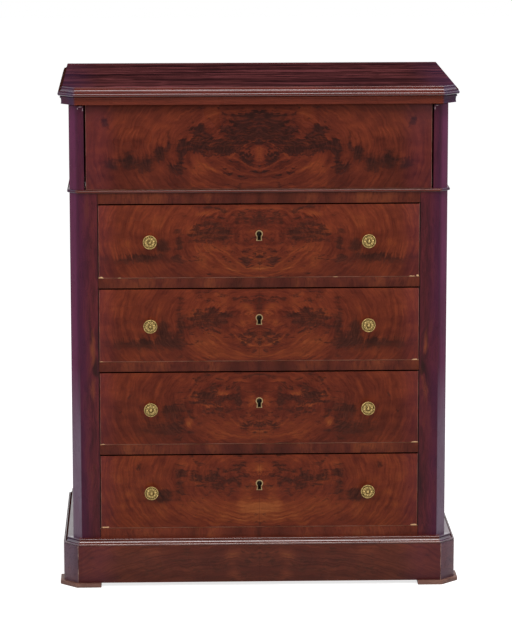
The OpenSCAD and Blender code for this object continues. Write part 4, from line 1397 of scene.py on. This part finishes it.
@dataclass(frozen=True)
class Softbox:
    """Large soft lamp, aimed at the middle of the chest.

    Attributes:
        name: name of the lamp.
        at: its place, in metres.
        size: its width and height, in metres.
        watts: its power.
        colour: colour of its light.
        aim: what it is aimed at, in metres.
    """

    name: str
    at: Triple
    size: tuple[float, float]
    watts: float
    colour: Triple = (1.0, 0.98, 1.0)
    aim: Triple = (0.0, 0.0, 0.6)

    def build(self) -> None:
        """Hangs the lamp."""
        data = bpy.data.lights.new(self.name, "AREA")
        data.shape, data.energy, data.color = "RECTANGLE", self.watts, self.colour
        data.size, data.size_y = self.size
        lamp = bpy.data.objects.new(self.name, data)
        lamp.location = self.at
        sight = Vector(self.aim) - Vector(self.at)
        lamp.rotation_euler = sight.to_track_quat("-Z", "Y").to_euler()
        bpy.context.scene.collection.objects.link(lamp)


@dataclass
class Studio:
    """Pale floor and backdrop, soft lamps and the camera at the photograph's angle.

    Attributes:
        lamps: a key from the upper left, a weaker fill from the right and one overhead.
        fill: strength of the world's light on the chest.
        glow: light of the paper floor as the lens sees it, which brings it up to white.
        reach: half width of the floor, in metres.
        camera_at: the camera's place, in metres.
        yaw: its turn to the right, in radians.
        pitch: its turn down.
        roll: its turn about its own line of sight.
        focal_px: focal length in pixels of the photograph.
        frame_h: height of the photograph in pixels.
        sensor: height of the film.
        clip: nearest and furthest distance that it sees, in metres.
    """

    lamps: tuple[Softbox, ...] = (
        Softbox("key_softbox", (-2.8, -2.8, 2.6), (2.2, 2.2), 66.0),
        Softbox("fill_softbox", (2.4, -3.2, 1.8), (2.0, 2.0), 20.0, (1.0, 0.98, 0.95)),
        Softbox("overhead_strip", (0.8, -0.8, 3.0), (4.2, 0.8), 88.0))
    fill: float = 0.5
    glow: float = 0.76
    reach: float = 14.0
    camera_at: Triple = (-0.2256, -7.2327, 1.8941)
    yaw: float = 0.0312
    pitch: float = 0.1828
    roll: float = -0.0012
    focal_px: float = 3215.5
    frame_h: float = 641.0
    sensor: float = 36.0
    clip: tuple[float, float] = (0.1, 60.0)

    def build(self) -> None:
        """Sets the colour transform and builds the studio."""
        bpy.context.scene.view_settings.view_transform = "Standard"
        self.sky()
        self.floor()
        for lamp in self.lamps:
            lamp.build()
        self.camera()

    @staticmethod
    def seen(r: Recipe) -> Socket:
        """Share that is 1 for camera, glossy and transmission rays, which show the background.

        Args:
            r: recipe of the world or of the floor.

        Returns:
            The share.
        """
        rays = r.add("LightPath").node.outputs
        share = r.add("Math.MAXIMUM", rays["Is Camera Ray"], rays["Is Glossy Ray"])
        return r.add("Math.MAXIMUM", share, rays["Is Transmission Ray"])

    def sky(self) -> None:
        """World: white behind the chest, and a plain soft fill for the light on it."""
        r = Recipe(bpy.data.worlds.new("studio_air"))
        strength = r.add("MapRange", self.seen(r), None, None, self.fill, 1.0)
        bpy.context.scene.world = r.finish(r.add("Background", WHITE, strength), "OutputWorld")

    def floor(self) -> None:
        """Sheet of pale paper under the chest, which keeps the chest's shadow."""
        bm = bmesh.new()
        bmesh.ops.create_grid(bm, x_segments=1, y_segments=1, size=self.reach)
        mesh = bpy.data.meshes.new("paper_floor")
        bm.to_mesh(mesh)
        bm.free()
        r = Recipe(bpy.data.materials.new("matt_white_paper"))
        glow = r.add("Emission", WHITE, r.add("Math.MULTIPLY", self.seen(r), self.glow))
        mesh.materials.append(r.finish(r.add("AddShader", r.add("BsdfDiffuse", PAPER), glow)))
        sheet = bpy.data.objects.new("paper_floor", mesh)
        bpy.context.scene.collection.objects.link(sheet)

    def camera(self) -> None:
        """Camera fitted to the photograph: its place, turn and lens."""
        data = bpy.data.cameras.new("photograph")
        data.sensor_width = self.sensor
        data.lens = self.focal_px / self.frame_h * self.sensor
        data.clip_start, data.clip_end = self.clip
        camera = bpy.data.objects.new("photograph", data)
        turn = Matrix.Rotation(-self.yaw, 3, "Z") @ Matrix.Rotation(math.pi / 2 - self.pitch, 3, "X")
        turn = turn @ Matrix.Rotation(self.roll, 3, "Z")
        camera.matrix_world = Matrix.Translation(self.camera_at) @ turn.to_4x4()
        bpy.context.scene.collection.objects.link(camera)
        bpy.context.scene.camera = camera


def main() -> None:
    """Builds the chest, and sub-assembly by sub-assembly."""
    logging.basicConfig(level=logging.INFO, format="%(name)s %(message)s")
    Studio().build()
    Carcase().build()
    Lid().build()
    for drawer in DRAWERS:
        drawer.build()


if __name__ == "__main__":
    main()
